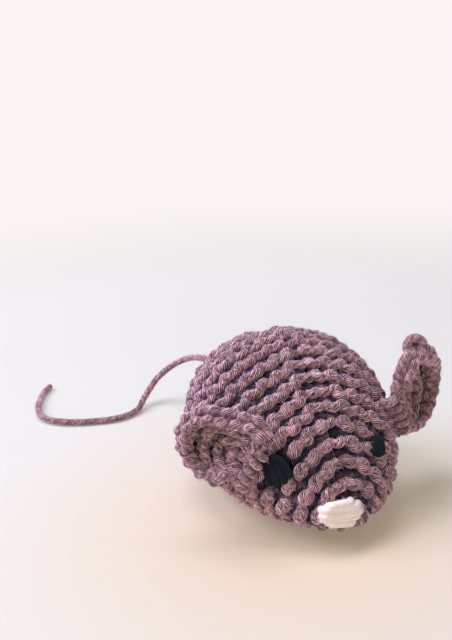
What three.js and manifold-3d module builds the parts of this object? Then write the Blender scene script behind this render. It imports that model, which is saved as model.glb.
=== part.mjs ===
// Catnip mouse: a hand-knitted mouse, stuffed round a small cotton pouch of dried catnip.
// Millimetres, +Z up. The mouse faces -Y, its right side is -X, and it lies on its belly at z = 0.

import * as THREE from 'three';
import { mergeVertices } from 'three/addons/utils/BufferGeometryUtils.js';
import Module from 'manifold-3d';

const wasm = await Module();
wasm.setup();

// Knitted cover: an egg that tapers to a low blunt nose, widest above the origin
const COVER_FRONT = 41;
const COVER_REAR = 32.2;
const COVER_HALF_WIDTH = 30.2;
const COVER_TOP = 49.5;
const COVER_WAIST_HEIGHT = 24.2;
const NOSE_TIP_HEIGHT = 8;
const HEAD_DROOP_POWER = 1.7;
const BELLY_POWER = 2.5;
const BELLY_FLAT_DEPTH = 0.5;
const COVER_WALL = 4;
const COVER_STATIONS = 20;
const COVER_SIDES = 26;

// Garter ridges: hoops round the cover, bent back along the middle where stitches are decreased, and
// pressed flat under the belly
const RIDGE_PITCH = 5.5;
const RIDGE_DEPTH = 1.8;
const RIDGE_CREST = 2.2;
const FIRST_RIDGE = 3.6;
const MITRE_BEND = 5.5;
const MITRE_WIDTH = 8;
const MITRE_GIRTH = 30;
const BELLY_EDGE = -0.8;
const BELLY_PRESSED = -0.95;

// Yarn and the gap that neighbouring pieces keep
const YARN_RADIUS = 1.25;
const YARN_SIDES = 8;
const STITCH_SIDES = 6;
const CLEARANCE = 0.3;
const STITCH_DEPTH = 1.5;
const STITCH_LIFT = 0.5;
const STITCH_OVERLAP = 0.4;
const STITCH_PITCH = 2 * YARN_RADIUS - STITCH_OVERLAP;
const STITCH_STEPS = 8;

// Embroidery: "along" is the angle from the nose tip towards the rump, "round" the angle from the
// top of the back towards the mouse's left, and "turn" how far the stitches lean from upright
const RIGHT_EYE = { along: 0.76, round: -1, turn: 0.6, count: 3, length: 6.2 };
const LEFT_EYE = { along: 0.69, round: 0.8, turn: -0.6, count: 3, length: 5 };
const NOSE = { along: 0.19, round: -0.66, turn: 1.5, count: 4, length: 12 };

// Ears: cupped oval discs, hinged where they are sewn to the sides of the head; "turn" leans the hinge
// line from upright and "lean" lays the ear back from the cover's normal
const RIGHT_EAR = {
  side: -1, along: 0.92, round: 1.28, turn: 0.45, lean: 1.4, halfLength: 12.9, halfWidth: 11.2,
};
const LEFT_EAR = {
  side: 1, along: 1.04, round: 1.2, turn: 0.25, lean: 1.1, halfLength: 12.9, halfWidth: 15,
};
const EAR_THICKNESS = 3.2;
const EAR_RIM_RADIUS = 2;
const EAR_CUP = 3;
const EAR_ROOT_CUT = 2.4;
const EAR_SEAM_LENGTH = 11.5;
const EAR_RINGS = 4;
const EAR_RIM_STEPS = 4;
const EAR_SIDES = 24;

// Tail: a strand of yarn from the rump to the floor, and its knotted end inside
const TAIL_RADIUS = 1.1;
const TAIL_STEPS = 44;
const TAIL_KNOT_RADIUS = 3.2;
const TAIL_ROUTE = [
  [0, 37, 24.1],
  [-0.5, 42, 23.8],
  [-1.2, 48, 23],
  [-2, 56, 21.2],
  [-3.1, 64.2, 18.6],
  [-6.7, 70.7, 14.5],
  [-11.7, 74.3, 9],
  [-16.6, 73.4, 4],
  [-22, 68.5, 1.4],
  [-29.1, 65.9, 1.2],
  [-39.1, 67.5, 1.2],
  [-48, 71.5, 1.4],
  [-52.3, 77, 1.6],
  [-51.6, 84.3, 1.4],
  [-46.6, 95.3, 1.2],
  [-41.7, 101.3, 1.2],
];

// Closing yarns of the cover
const GATHER_RING_RADIUS = 4.2;
const GATHER_RING_DEPTH = 0.8;
const SEAM_START = 0.95;
const SEAM_END = 2.3;
const SEAM_POINTS = 9;

// Catnip pouch in the middle of the stuffing
const POUCH_CENTRE_Y = -3;
const POUCH_CENTRE_Z = 22;
const POUCH_RADIUS = 10.5;
const POUCH_HALF_HEIGHT = 11.5;
const POUCH_WALL = 0.8;
const POUCH_NECK_RADIUS = 3.4;
const POUCH_NECK_HEIGHT = 3;
const POUCH_COLLAR_RADIUS = 4.6;
const POUCH_COLLAR_HEIGHT = 2.5;
const POUCH_RINGS = 6;
const POUCH_SIDES = 20;
const TIE_RADIUS = 0.8;
const TIE_SIDES = 6;

const MERGE_DISTANCE = 1e-4;
const FAR = 200;
const UP = new THREE.Vector3(0, 0, 1);

const MAUVE_YARN = { color: 0x8d6f70, roughness: 0.9, metalness: 0 };
const BLACK_YARN = { color: 0x14181c, roughness: 0.9, metalness: 0 };
const CREAM_YARN = { color: 0xeee6d6, roughness: 0.9, metalness: 0 };
const FIBRE_FILL = { color: 0xf4f3ef, roughness: 1, metalness: 0 };
const MUSLIN = { color: 0xe6dcc4, roughness: 0.95, metalness: 0 };
const DRIED_HERB = { color: 0x6f7648, roughness: 1, metalness: 0 };

// Solids

// A closed geometry as a solid that can be joined and cut
function solid(geometry) {
  const bare = geometry.clone();
  bare.deleteAttribute('normal');
  bare.deleteAttribute('uv');
  const merged = mergeVertices(bare, MERGE_DISTANCE);
  const corners = merged.index.array;
  const triangles = [];
  for (let i = 0; i < corners.length; i += 3) {
    const [a, b, c] = corners.slice(i, i + 3);
    if (a !== b && b !== c && c !== a) triangles.push(a, b, c);
  }
  return new wasm.Manifold(new wasm.Mesh({
    numProp: 3,
    vertProperties: merged.attributes.position.array,
    triVerts: Uint32Array.from(triangles),
  }));
}

function mesh(name, body, finish) {
  const { vertProperties, triVerts } = body.getMesh();
  const geometry = new THREE.BufferGeometry();
  geometry.setAttribute('position', new THREE.BufferAttribute(vertProperties, 3));
  geometry.setIndex(new THREE.BufferAttribute(triVerts, 1));
  geometry.computeVertexNormals();
  const piece = new THREE.Mesh(geometry, new THREE.MeshStandardMaterial(finish));
  piece.name = name;
  return piece;
}

function box(low, high) {
  const size = high.clone().sub(low);
  const middle = high.clone().add(low).multiplyScalar(0.5);
  return solid(new THREE.BoxGeometry(...size.toArray()).translate(...middle.toArray()));
}

// A closed surface through rings of points, with a single point at each end
function loft(first, rings, last) {
  const count = rings[0].length;
  const points = [first, ...rings.flat(), last];
  const at = (ring, i) => 1 + ring * count + (i % count);
  const triangles = [];
  for (let i = 0; i < count; i += 1) {
    triangles.push(0, at(0, i), at(0, i + 1));
    triangles.push(points.length - 1, at(rings.length - 1, i + 1), at(rings.length - 1, i));
    for (let ring = 0; ring + 1 < rings.length; ring += 1) {
      triangles.push(at(ring, i), at(ring + 1, i), at(ring + 1, i + 1));
      triangles.push(at(ring, i), at(ring + 1, i + 1), at(ring, i + 1));
    }
  }
  const geometry = new THREE.BufferGeometry().setFromPoints(points);
  geometry.setIndex(triangles);
  return solid(geometry);
}

// A strand of yarn along a smooth curve through points
function strand(points, radius, steps, sides = YARN_SIDES) {
  const corners = Array.from({ length: sides }, (_, i) => {
    const angle = (2 * Math.PI * i) / sides;
    return new THREE.Vector2(radius * Math.cos(angle), radius * Math.sin(angle));
  });
  const path = new THREE.CatmullRomCurve3(points);
  const options = { steps, bevelEnabled: false, extrudePath: path };
  return solid(new THREE.ExtrudeGeometry(new THREE.Shape(corners), options));
}

// A turned form about the vertical, from a profile of [radius, height] pairs
function turned(profile, sides) {
  const points = profile.map(([radius, height]) => new THREE.Vector2(radius, height));
  return new THREE.LatheGeometry(points, sides).rotateX(Math.PI / 2);
}

// Shape of the cover

// Sizes of the egg's cross-section at y, on a face that lies "inset" under the cover's outer face
function coverSection(y, inset) {
  const reach = (y < 0 ? COVER_FRONT : COVER_REAR) - inset;
  const share = Math.min(Math.abs(y) / reach, 1);
  const girth = Math.sqrt(1 - share ** 2);
  const droop = y < 0 ? share ** HEAD_DROOP_POWER : 0;
  const axis = COVER_WAIST_HEIGHT + (NOSE_TIP_HEIGHT - COVER_WAIST_HEIGHT) * droop;
  return {
    axis,
    halfWidth: (COVER_HALF_WIDTH - inset) * girth,
    rise: (COVER_TOP - COVER_WAIST_HEIGHT - inset) * girth,
    drop: (axis + BELLY_FLAT_DEPTH - inset) * girth,
  };
}

function coverPoint(along, round, inset = 0) {
  const reach = (along < Math.PI / 2 ? COVER_FRONT : COVER_REAR) - inset;
  const y = -reach * Math.cos(along);
  const section = coverSection(y, inset);
  const across = Math.sin(round);
  const up = Math.cos(round);
  const power = up > 0 ? 1 : 2 / BELLY_POWER;
  const x = section.halfWidth * Math.sign(across) * Math.abs(across) ** power;
  const lift = up > 0 ? section.rise * up : -section.drop * Math.abs(up) ** power;
  return new THREE.Vector3(x, y, section.axis + lift);
}

// Outer face at a place: its point, its outward normal, and the upright direction along the face
function coverSeat(along, round) {
  const step = 1e-3;
  const point = coverPoint(along, round);
  const back = coverPoint(along + step, round).sub(coverPoint(along - step, round));
  const leftward = coverPoint(along, round + step).sub(coverPoint(along, round - step));
  const normal = leftward.cross(back).normalize();
  const upright = UP.clone().projectOnPlane(normal).normalize();
  return { point, normal, upright };
}

function isInsideCover(point) {
  const section = coverSection(point.y, 0);
  const lift = point.z - section.axis;
  const power = lift > 0 ? 2 : BELLY_POWER;
  const half = lift > 0 ? section.rise : section.drop;
  if (half <= 0) return false;
  return Math.abs(point.x / section.halfWidth) ** power + Math.abs(lift / half) ** power < 1;
}

// The place where a line along the normal through point meets the cover's outer face
function dropToCover(point, normal) {
  let inside = -2 * COVER_WALL;
  let outside = 2 * COVER_WALL;
  for (let i = 0; i < 24; i += 1) {
    const middle = (inside + outside) / 2;
    if (isInsideCover(point.clone().addScaledVector(normal, middle))) inside = middle;
    else outside = middle;
  }
  return point.clone().addScaledVector(normal, inside);
}

function coverEgg(inset) {
  const rings = [];
  for (let station = 1; station < COVER_STATIONS; station += 1) {
    const along = (Math.PI * station) / COVER_STATIONS;
    const ring = [];
    for (let side = 0; side < COVER_SIDES; side += 1) {
      ring.push(coverPoint(along, (-2 * Math.PI * side) / COVER_SIDES, inset));
    }
    rings.push(ring);
  }
  return loft(coverPoint(0, 0, inset), rings, coverPoint(Math.PI, 0, inset));
}

// The cover's line from nose tip to rump at an angle round the body
function meridian(side) {
  const round = Math.PI - (2 * Math.PI * side) / COVER_SIDES;
  const points = Array.from({ length: COVER_STATIONS + 1 }, (_, station) => (
    coverPoint((Math.PI * station) / COVER_STATIONS, round)
  ));
  const path = new THREE.CatmullRomCurve3(points);
  const relief = THREE.MathUtils.smoothstep(Math.cos(round), BELLY_PRESSED, BELLY_EDGE);
  return { round, path, length: path.getLength(), relief };
}

// A hoop of points at a share of the way from nose to rump, "depth" under the cover's outer face
function hoop(meridians, back, share, depth) {
  const girth = coverSection(back.path.getPointAt(share).y, 0);
  const height = girth.rise + girth.drop;
  const bend = MITRE_BEND * Math.min(1, height / MITRE_GIRTH) * (1 - share);
  return meridians.map(({ round, path, length, relief }) => {
    const fromMiddle = (Math.abs(round) * height) / 2;
    const shift = (bend * Math.exp(-fromMiddle / MITRE_WIDTH)) / length;
    const along = Math.PI * path.getUtoTmapping(share + shift);
    return coverPoint(along, round, depth * relief);
  });
}

// The outer form of the cover, with its garter ridges
function ridgedEgg() {
  const meridians = Array.from({ length: COVER_SIDES }, (_, side) => meridian(side));
  const back = meridians[COVER_SIDES / 2];
  const last = back.length - GATHER_RING_RADIUS;
  const rings = [];
  for (let crest = FIRST_RIDGE; crest < last; crest += RIDGE_PITCH) {
    if (rings.length > 0) {
      rings.push(hoop(meridians, back, (crest - RIDGE_PITCH / 2) / back.length, RIDGE_DEPTH));
    }
    rings.push(hoop(meridians, back, (crest - RIDGE_CREST / 2) / back.length, 0));
    rings.push(hoop(meridians, back, (crest + RIDGE_CREST / 2) / back.length, 0));
  }
  return loft(coverPoint(0, 0), rings, coverPoint(Math.PI, 0));
}

// Embroidery

// One sewn strand
function stitch(points) {
  return strand(points, YARN_RADIUS, STITCH_STEPS, STITCH_SIDES);
}

// The room that a sewn strand takes in the cover: straight stretches that overlap where the strand bends
function stitchRoom(points) {
  const radius = (YARN_RADIUS + CLEARANCE) / Math.cos(Math.PI / STITCH_SIDES);
  const stops = new THREE.CatmullRomCurve3(points).getSpacedPoints(STITCH_STEPS);
  const stretches = stops.slice(1).map((end, i) => {
    const overlap = end.clone().sub(stops[i]).setLength(radius / 2);
    return strand([stops[i].clone().sub(overlap), end.clone().add(overlap)], radius, 1, STITCH_SIDES);
  });
  return stretches.reduce((room, stretch) => room.add(stretch));
}

// Strands sewn side by side, each dipping into the cover at both ends, in an oval outline
function satinStitches({ along, round, turn, count, length }, sewn) {
  const { point, normal, upright } = coverSeat(along, round);
  const run = upright.clone().applyAxisAngle(normal, turn);
  const beside = normal.clone().cross(run);
  const halfPatch = (count * STITCH_PITCH) / 2;
  const strands = Array.from({ length: count }, (_, i) => {
    const offset = (i - (count - 1) / 2) * STITCH_PITCH;
    const reach = (length / 2) * Math.sqrt(1 - (offset / halfPatch) ** 2 / 2);
    return sewn([-1, -0.8, -0.35, 0.35, 0.8, 1].map((share) => {
      const flat = point.clone().addScaledVector(run, share * reach).addScaledVector(beside, offset);
      const lift = Math.abs(share) === 1 ? -STITCH_DEPTH : STITCH_LIFT;
      return dropToCover(flat, normal).addScaledVector(normal, lift);
    }));
  });
  return strands.reduce((patch, next) => patch.add(next));
}

// Ears

// Where an ear is sewn on: the hinge line's middle, the line, and the ways the ear reaches and faces
function earFrame({ side, along, round, lean, turn }) {
  const { point, normal, upright } = coverSeat(along, side * round);
  const middle = point.clone().addScaledVector(normal, YARN_RADIUS + CLEARANCE);
  const hinge = upright.clone().applyAxisAngle(normal, side * turn);
  const backward = hinge.clone().cross(normal).multiplyScalar(side);
  const reach = normal.clone().multiplyScalar(Math.cos(lean));
  reach.addScaledVector(backward, Math.sin(lean));
  const facing = hinge.clone().cross(reach).multiplyScalar(-side);
  return { middle, normal, hinge, reach, facing };
}

// The cupped disc flat on its back, its length along X, with a thick rim that stands up all round
function earDisc({ halfLength, halfWidth }) {
  const length = halfLength - EAR_RIM_RADIUS;
  const width = halfWidth - EAR_RIM_RADIUS;
  const ring = (share, outward, height) => Array.from({ length: EAR_SIDES }, (_, i) => {
    const angle = (-2 * Math.PI * i) / EAR_SIDES;
    const x = (share * length + outward) * Math.cos(angle);
    const y = (share * width + outward) * Math.sin(angle);
    return new THREE.Vector3(x, y, height);
  });
  const back = [];
  const front = [];
  for (let i = 1; i < EAR_RINGS; i += 1) {
    const share = i / EAR_RINGS;
    const height = EAR_CUP * share ** 2;
    back.push(ring(share, 0, height - EAR_THICKNESS / 2));
    front.unshift(ring(share, 0, height + EAR_THICKNESS / 2));
  }
  const rim = Array.from({ length: EAR_RIM_STEPS + 1 }, (_, i) => {
    const angle = Math.PI * (i / EAR_RIM_STEPS - 0.5);
    return ring(1, EAR_RIM_RADIUS * Math.cos(angle), EAR_CUP + EAR_RIM_RADIUS * Math.sin(angle));
  });
  const backMiddle = new THREE.Vector3(0, 0, -EAR_THICKNESS / 2);
  const frontMiddle = new THREE.Vector3(0, 0, EAR_THICKNESS / 2);
  return loft(backMiddle, [...back, ...rim, ...front], frontMiddle);
}

// The ear with a straight root along its hinge line, clear of the cover behind it
function earFlap(ear) {
  const { middle, hinge, reach, facing } = earFrame(ear);
  const root = YARN_RADIUS + CLEARANCE;
  const centre = root + ear.halfLength - EAR_ROOT_CUT;
  const trim = box(new THREE.Vector3(-FAR, -FAR, -FAR), new THREE.Vector3(root, FAR, FAR));
  const place = new THREE.Matrix4().makeBasis(reach, hinge.clone().multiplyScalar(ear.side), facing);
  place.setPosition(middle);
  return earDisc(ear)
    .translate([centre, 0, -EAR_CUP])
    .subtract(trim)
    .transform(place.elements)
    .subtract(coverEgg(-CLEARANCE));
}

// The strand that sews an ear on: it lies along the hinge line and dips into the cover at both ends
function earSewing(ear, sewn) {
  const { middle, normal, hinge } = earFrame(ear);
  return sewn([-1, -0.75, -0.4, 0, 0.4, 0.75, 1].map((share) => {
    const point = middle.clone().addScaledVector(hinge, (share * EAR_SEAM_LENGTH) / 2);
    if (Math.abs(share) < 1) return point;
    return dropToCover(point, normal).addScaledVector(normal, -STITCH_DEPTH);
  }));
}

// Tail

const RUMP = coverPoint(Math.PI, 0);
const TAIL_PIVOT = RUMP.clone().add(new THREE.Vector3(0, CLEARANCE + TAIL_RADIUS, 0));
const KNOT_DEPTH = COVER_WALL + CLEARANCE + TAIL_KNOT_RADIUS;
const KNOT_CENTRE = RUMP.clone().sub(new THREE.Vector3(0, KNOT_DEPTH, 0));

function ball(centre, radius) {
  return solid(new THREE.SphereGeometry(radius, 12, 8).translate(...centre.toArray()));
}

function tailCord() {
  const route = TAIL_ROUTE.map((point) => new THREE.Vector3(...point));
  return strand([TAIL_PIVOT, ...route], TAIL_RADIUS, TAIL_STEPS).add(ball(TAIL_PIVOT, TAIL_RADIUS));
}

// The straight stretch of the tail that goes through the rump, up to its outer face
function tailShank(radius, end) {
  return strand([KNOT_CENTRE, end], radius, 1);
}

function tailRootKnot() {
  return tailShank(TAIL_RADIUS, RUMP).add(ball(KNOT_CENTRE, TAIL_KNOT_RADIUS));
}

// Closing yarns of the cover

function gatherRing(radius) {
  const ring = new THREE.TorusGeometry(GATHER_RING_RADIUS, radius, YARN_SIDES, 3 * YARN_SIDES);
  return solid(ring.rotateX(Math.PI / 2).translate(RUMP.x, RUMP.y - GATHER_RING_DEPTH, RUMP.z));
}

// The belly seam's strand, along the inner face of the cover
function bellySeam(radius) {
  const points = Array.from({ length: SEAM_POINTS }, (_, i) => {
    const along = SEAM_START + ((SEAM_END - SEAM_START) * i) / (SEAM_POINTS - 1);
    return coverPoint(along, Math.PI, COVER_WALL + CLEARANCE + YARN_RADIUS);
  });
  return strand(points, radius, SEAM_POINTS);
}

// Catnip pouch, about the vertical through the origin

const NECK_TURN = Math.acos(POUCH_NECK_RADIUS / POUCH_RADIUS);
const NECK_BASE = POUCH_HALF_HEIGHT * Math.sin(NECK_TURN);
const COLLAR_BASE = NECK_BASE + POUCH_NECK_HEIGHT;
const POUCH_TOP = COLLAR_BASE + POUCH_COLLAR_HEIGHT;
const TIE_RING_RADIUS = POUCH_NECK_RADIUS + CLEARANCE + TIE_RADIUS;
const POUCH_PLACE = [0, POUCH_CENTRE_Y, POUCH_CENTRE_Z];

// The round of the bag from its lowest point to its neck, "inset" under its outer face
function bagRound(inset) {
  return Array.from({ length: POUCH_RINGS + 1 }, (_, i) => {
    const turn = -Math.PI / 2 + ((Math.PI / 2 + NECK_TURN) * i) / POUCH_RINGS;
    const radius = (POUCH_RADIUS - inset) * Math.cos(turn);
    return [i === 0 ? 0 : radius, (POUCH_HALF_HEIGHT - inset) * Math.sin(turn)];
  });
}

function catnipPouch() {
  const outside = [...bagRound(0), [POUCH_NECK_RADIUS, COLLAR_BASE], [POUCH_COLLAR_RADIUS, POUCH_TOP]];
  const inside = [
    ...bagRound(POUCH_WALL),
    [POUCH_NECK_RADIUS - POUCH_WALL, COLLAR_BASE],
    [POUCH_COLLAR_RADIUS - POUCH_WALL, POUCH_TOP],
  ];
  return solid(turned([...outside, ...inside.reverse()], POUCH_SIDES)).translate(POUCH_PLACE);
}

function driedCatnip() {
  const round = bagRound(POUCH_WALL + CLEARANCE);
  const top = round[round.length - 1][1];
  return solid(turned([...round, [0, top]], POUCH_SIDES)).translate(POUCH_PLACE);
}

function pouchTie() {
  const ring = new THREE.TorusGeometry(TIE_RING_RADIUS, TIE_RADIUS, TIE_SIDES, POUCH_SIDES);
  return solid(ring.translate(0, 0, NECK_BASE + POUCH_NECK_HEIGHT / 2)).translate(POUCH_PLACE);
}

// The room that the tied pouch takes in the stuffing
function pouchRoom() {
  const throat = Math.max(POUCH_COLLAR_RADIUS, TIE_RING_RADIUS + TIE_RADIUS) + CLEARANCE;
  const throatTurn = Math.acos(throat / (POUCH_RADIUS + CLEARANCE));
  const round = bagRound(-CLEARANCE).filter(([radius], i) => i <= POUCH_RINGS / 2 || radius > throat);
  const shoulder = (POUCH_HALF_HEIGHT + CLEARANCE) * Math.sin(throatTurn);
  const profile = [...round, [throat, shoulder], [throat, POUCH_TOP + CLEARANCE], [0, POUCH_TOP + CLEARANCE]];
  return solid(turned(profile, POUCH_SIDES)).translate(POUCH_PLACE);
}

// Assembly

function knitCover() {
  const beyond = RUMP.clone().add(new THREE.Vector3(0, FAR, 0));
  const floor = box(new THREE.Vector3(-FAR, -FAR, -FAR), new THREE.Vector3(FAR, FAR, 0));
  return ridgedEgg()
    .subtract(coverEgg(COVER_WALL))
    .subtract(tailShank(TAIL_RADIUS + CLEARANCE, beyond))
    .subtract(gatherRing(YARN_RADIUS + CLEARANCE))
    .subtract(satinStitches(RIGHT_EYE, stitchRoom))
    .subtract(satinStitches(LEFT_EYE, stitchRoom))
    .subtract(satinStitches(NOSE, stitchRoom))
    .subtract(earSewing(RIGHT_EAR, stitchRoom))
    .subtract(earSewing(LEFT_EAR, stitchRoom))
    .subtract(floor);
}

// Stuffing round the pouch, in front of it or behind it
function stuffing(frontSide) {
  const split = POUCH_CENTRE_Y + (frontSide ? -CLEARANCE : CLEARANCE) / 2;
  const other = frontSide
    ? box(new THREE.Vector3(-FAR, split, -FAR), new THREE.Vector3(FAR, FAR, FAR))
    : box(new THREE.Vector3(-FAR, -FAR, -FAR), new THREE.Vector3(FAR, split, FAR));
  return coverEgg(COVER_WALL + CLEARANCE)
    .subtract(pouchRoom())
    .subtract(bellySeam(YARN_RADIUS + CLEARANCE))
    .subtract(ball(KNOT_CENTRE, TAIL_KNOT_RADIUS + CLEARANCE))
    .subtract(other);
}

const mouse = new THREE.Group();
mouse.add(
  mesh('knit_cover', knitCover(), MAUVE_YARN),
  mesh('front_stuffing', stuffing(true), FIBRE_FILL),
  mesh('rear_stuffing', stuffing(false), FIBRE_FILL),
  mesh('catnip_pouch', catnipPouch(), MUSLIN),
  mesh('dried_catnip', driedCatnip(), DRIED_HERB),
  mesh('pouch_tie', pouchTie(), CREAM_YARN),
  mesh('belly_seam_yarn', bellySeam(YARN_RADIUS), MAUVE_YARN),
  mesh('rump_gathering_yarn', gatherRing(YARN_RADIUS), MAUVE_YARN),
  mesh('right_ear', earFlap(RIGHT_EAR), MAUVE_YARN),
  mesh('left_ear', earFlap(LEFT_EAR), MAUVE_YARN),
  mesh('right_ear_sewing_yarn', earSewing(RIGHT_EAR, stitch), MAUVE_YARN),
  mesh('left_ear_sewing_yarn', earSewing(LEFT_EAR, stitch), MAUVE_YARN),
  mesh('right_eye_stitches', satinStitches(RIGHT_EYE, stitch), BLACK_YARN),
  mesh('left_eye_stitches', satinStitches(LEFT_EYE, stitch), BLACK_YARN),
  mesh('nose_stitches', satinStitches(NOSE, stitch), CREAM_YARN),
  mesh('tail_root_knot', tailRootKnot(), MAUVE_YARN),
  mesh('tail_cord', tailCord(), MAUVE_YARN),
);

export default mouse;
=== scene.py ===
"""Looks of a hand-knitted catnip mouse: every stitch is a strand of plied yarn. All sizes are in metres."""

import math
from functools import partial

import bpy
import numpy as np
from mathutils import Euler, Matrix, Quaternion, Vector


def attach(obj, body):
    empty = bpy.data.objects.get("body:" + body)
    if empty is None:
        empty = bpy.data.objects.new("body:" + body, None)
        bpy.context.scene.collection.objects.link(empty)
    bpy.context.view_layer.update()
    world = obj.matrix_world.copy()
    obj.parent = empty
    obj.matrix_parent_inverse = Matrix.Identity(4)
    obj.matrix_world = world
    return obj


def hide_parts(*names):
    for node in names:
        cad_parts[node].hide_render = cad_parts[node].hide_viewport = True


bl_info = {
    "name": "Catnip Mouse Looks",
    "version": (1, 0, 0),
    "blender": (4, 5, 0),
    "location": "View3D > Sidebar > Catnip Mouse",
    "description": "Knits, sews and stuffs a garter-stitch mouse over its packed frame",
    "category": "Object",
}

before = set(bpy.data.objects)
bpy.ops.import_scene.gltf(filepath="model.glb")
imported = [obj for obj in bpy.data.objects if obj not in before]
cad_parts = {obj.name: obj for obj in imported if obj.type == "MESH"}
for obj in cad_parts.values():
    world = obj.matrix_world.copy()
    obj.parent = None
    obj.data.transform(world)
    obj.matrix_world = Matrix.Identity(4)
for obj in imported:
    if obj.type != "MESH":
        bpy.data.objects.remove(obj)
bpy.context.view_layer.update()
MM = 0.001
UP = np.array([0.0, 0.0, 1.0])
FULL_TURN = 2 * math.pi
SEED = 7

# Camera of the picture: where it stands, and how it is turned, tilted and rolled
CAMERA_PLACE = (-0.17605, -0.34913, 0.21062)
CAMERA_TURN = math.radians(-24.204)
CAMERA_TILT = math.radians(21.741)
CAMERA_ROLL = math.radians(-1.077)
CAMERA_NEAREST = 0.01
IMAGE_HEIGHT = 640
FOCAL_PIXELS = 1450
SENSOR = 36.0

# Lamps: where they stand, their sizes, their watts and their colours
LAMPS = {
    "window": ((-0.72, 0.24, 0.72), 0.75, 12.0, "#E0DEFA"),
    "overhead": ((-0.04, 0.12, 0.7), 0.4, 3.1, "#E6E4F8"),
    "front_fill": ((-0.16, -0.66, 0.08), 0.5, 1.85, "#FFEAD8"),
}
LAMP_AIM = (0.0, 0.0, 0.02)
# Light from all round
ROOM_COLOUR = "#FBF6F6"
ROOM_STRENGTH = 0.28

# Floor: how far it reaches, the middle of its warm patch of painted light, and the distances over which that
# patch ends and the backdrop takes over. Its glow is the share of its own tone that it shows the eye as
# painted light, which keeps shadows on it soft
FLOOR_REACH = 4.0
FLOOR_WARM_LIGHT = (-0.01, -0.03, 0.0)
FLOOR_WARM_LIGHT_REACH = (0.0, 0.12)
FLOOR_FADE = (0.12, 0.3)
FLOOR_GLOW = 0.3

# Stitches of the face: "along" is the angle from the nose tip towards the rump, "around" the angle from
# the top of the back towards the mouse's left, "turn" how far stitches lean from upright, and "fan" how
# much closer together their far ends lie
RIGHT_EYE = {
    "along": 0.77, "around": -1.06, "turn": 0.5, "fan": 0.25,
    "count": 4, "length": 8.6 * MM, "pitch": 1.6 * MM,
}
LEFT_EYE = {
    "along": 0.69, "around": 0.79, "turn": -0.6, "fan": 0.1,
    "count": 3, "length": 5.4 * MM, "pitch": 1.7 * MM,
}
NOSE = {
    "along": 0.18, "around": -0.72, "turn": 1.55, "fan": 0.06,
    "count": 5, "length": 12 * MM, "pitch": 1.4 * MM,
}
# Where along a stitch its route stops, in half lengths, and how far past an eye the knit is pressed in and
# painted in shade
STITCH_SHARES = np.array([-1, -0.8, -0.35, 0.35, 0.8, 1])
EYE_MARGIN = 1 * MM

# Ears: "turn" leans the sewn root from upright, "lean" lays the ear back from the cover's normal, and
# "twist" brings its left edge forward. Angles are counted from the ear's tip: the rim turns up in front
# by "lip", most of all at "lip_at", and by "roll", along the ear, across it and forward, at "roll_at".
# "rope" is how thick the rim's ropes are beside the yarn, "swell" how much thicker in the middle of a
# stitch, and "sway" how much of a chain's sway they have. "curls" are the middles of loops in which the
# rim's yarn stands up, along the ear, across it and forward
RIGHT_EAR = {
    "side": -1, "along": 0.92, "around": 1.28, "turn": 0.45, "lean": 1.4,
    "half_length": 12.2 * MM, "half_width": 11.2 * MM, "twist": 0.0, "lip": 3.6 * MM, "lip_at": -1.5,
    "roll": (-4.2 * MM, -5 * MM, 1 * MM), "roll_at": -2.1, "rope": 1.12, "swell": 0.14, "sway": 1.0,
    "curls": [],
}
LEFT_EAR = {
    "side": 1, "along": 1.04, "around": 1.2, "turn": 0.25, "lean": 1.1,
    "half_length": 12.9 * MM, "half_width": 15 * MM, "twist": 3.4 * MM, "lip": 2 * MM, "lip_at": 0.4,
    "roll": (-1.5 * MM, -1.5 * MM, 1 * MM), "roll_at": 0.8, "rope": 1.18, "swell": 0.06, "sway": 0.5,
    "curls": [(13.9 * MM, 14.5 * MM, 5.2 * MM)],
}
# Angle over which a roll fades, and points that measure a row
ROLL_SPREAD = 0.55
EAR_STEPS = 181
# Parts of the way from root to rim between which rows lie, and how boldly and slanted their stitches show.
# How boldly also sets how dark the painted shade between their ridges can get
EAR_ROW_PARTS = (0.2, 0.9)
EAR_FACE = 0.75
EAR_LEAN = 0.15 * MM
# The shadowed shell behind those rows
EAR_BACKING_PARTS = (0.06, 0.98)
EAR_BACKING_GRID = (14, 41)
EAR_BACKING_WALL = 0.6 * MM
# Loops that sew a root on, and points along each
WHIPS = 5
WHIP_STEPS = 24

# A curl's half turn, how far it opens sideways, and the yarn that lies behind it, painted in shade
CURL_TURN = 3.4
CURL_STEPS = 61
CURL_SPREAD = 0.4
CURL_DEPTH = 0.6
CURL_SHADE = 0.75
CURL_UP = np.array([0.707, 0.707, 0.0])
CURL_ASIDE = np.array([0.363, -0.363, 0.858])

# Points along the cover's lines, and the power by which yarn thins where rows crowd together
MERIDIAN_STEPS = 241
CROWDING = 1.6
# The shadowed shell behind the cover's rows
BACKING_SIDES = 72
BACKING_RINGS = 50
# The gathering ring, and the seam under the belly between two angles from the nose tip
RING_STEPS = 72
RING_WAVES = 6
BELLY_SEAM = (0.95, 2.3)
BELLY_STEPS = 90
BELLY_WAVES = 9

# The tail's route after its pivot behind the rump
TAIL_ROUTE = [
    (0.0, 0.037, 0.0241), (-0.0005, 0.042, 0.0238), (-0.0012, 0.048, 0.023), (-0.002, 0.056, 0.0212),
    (-0.0031, 0.0642, 0.0186), (-0.0067, 0.0707, 0.0145), (-0.0117, 0.0743, 0.009),
    (-0.0166, 0.0734, 0.004), (-0.022, 0.0685, 0.0014), (-0.0291, 0.0659, 0.0012),
    (-0.0391, 0.0675, 0.0012), (-0.048, 0.0715, 0.0014), (-0.0523, 0.077, 0.0016),
    (-0.0516, 0.0843, 0.0014), (-0.0466, 0.0953, 0.0012), (-0.0417, 0.1013, 0.0012),
]
STRAND_STEP = 0.6 * MM
KNOT_STEPS = 96

# Wads of fibre fill, with loose fibres on a square metre of them
WELD_GAP = 0.01 * MM
WAD_VOXEL = 0.9 * MM
FILL_FIBRES = 60000.0
FILL_FIBRE_LENGTH = 3.6 * MM
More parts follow.
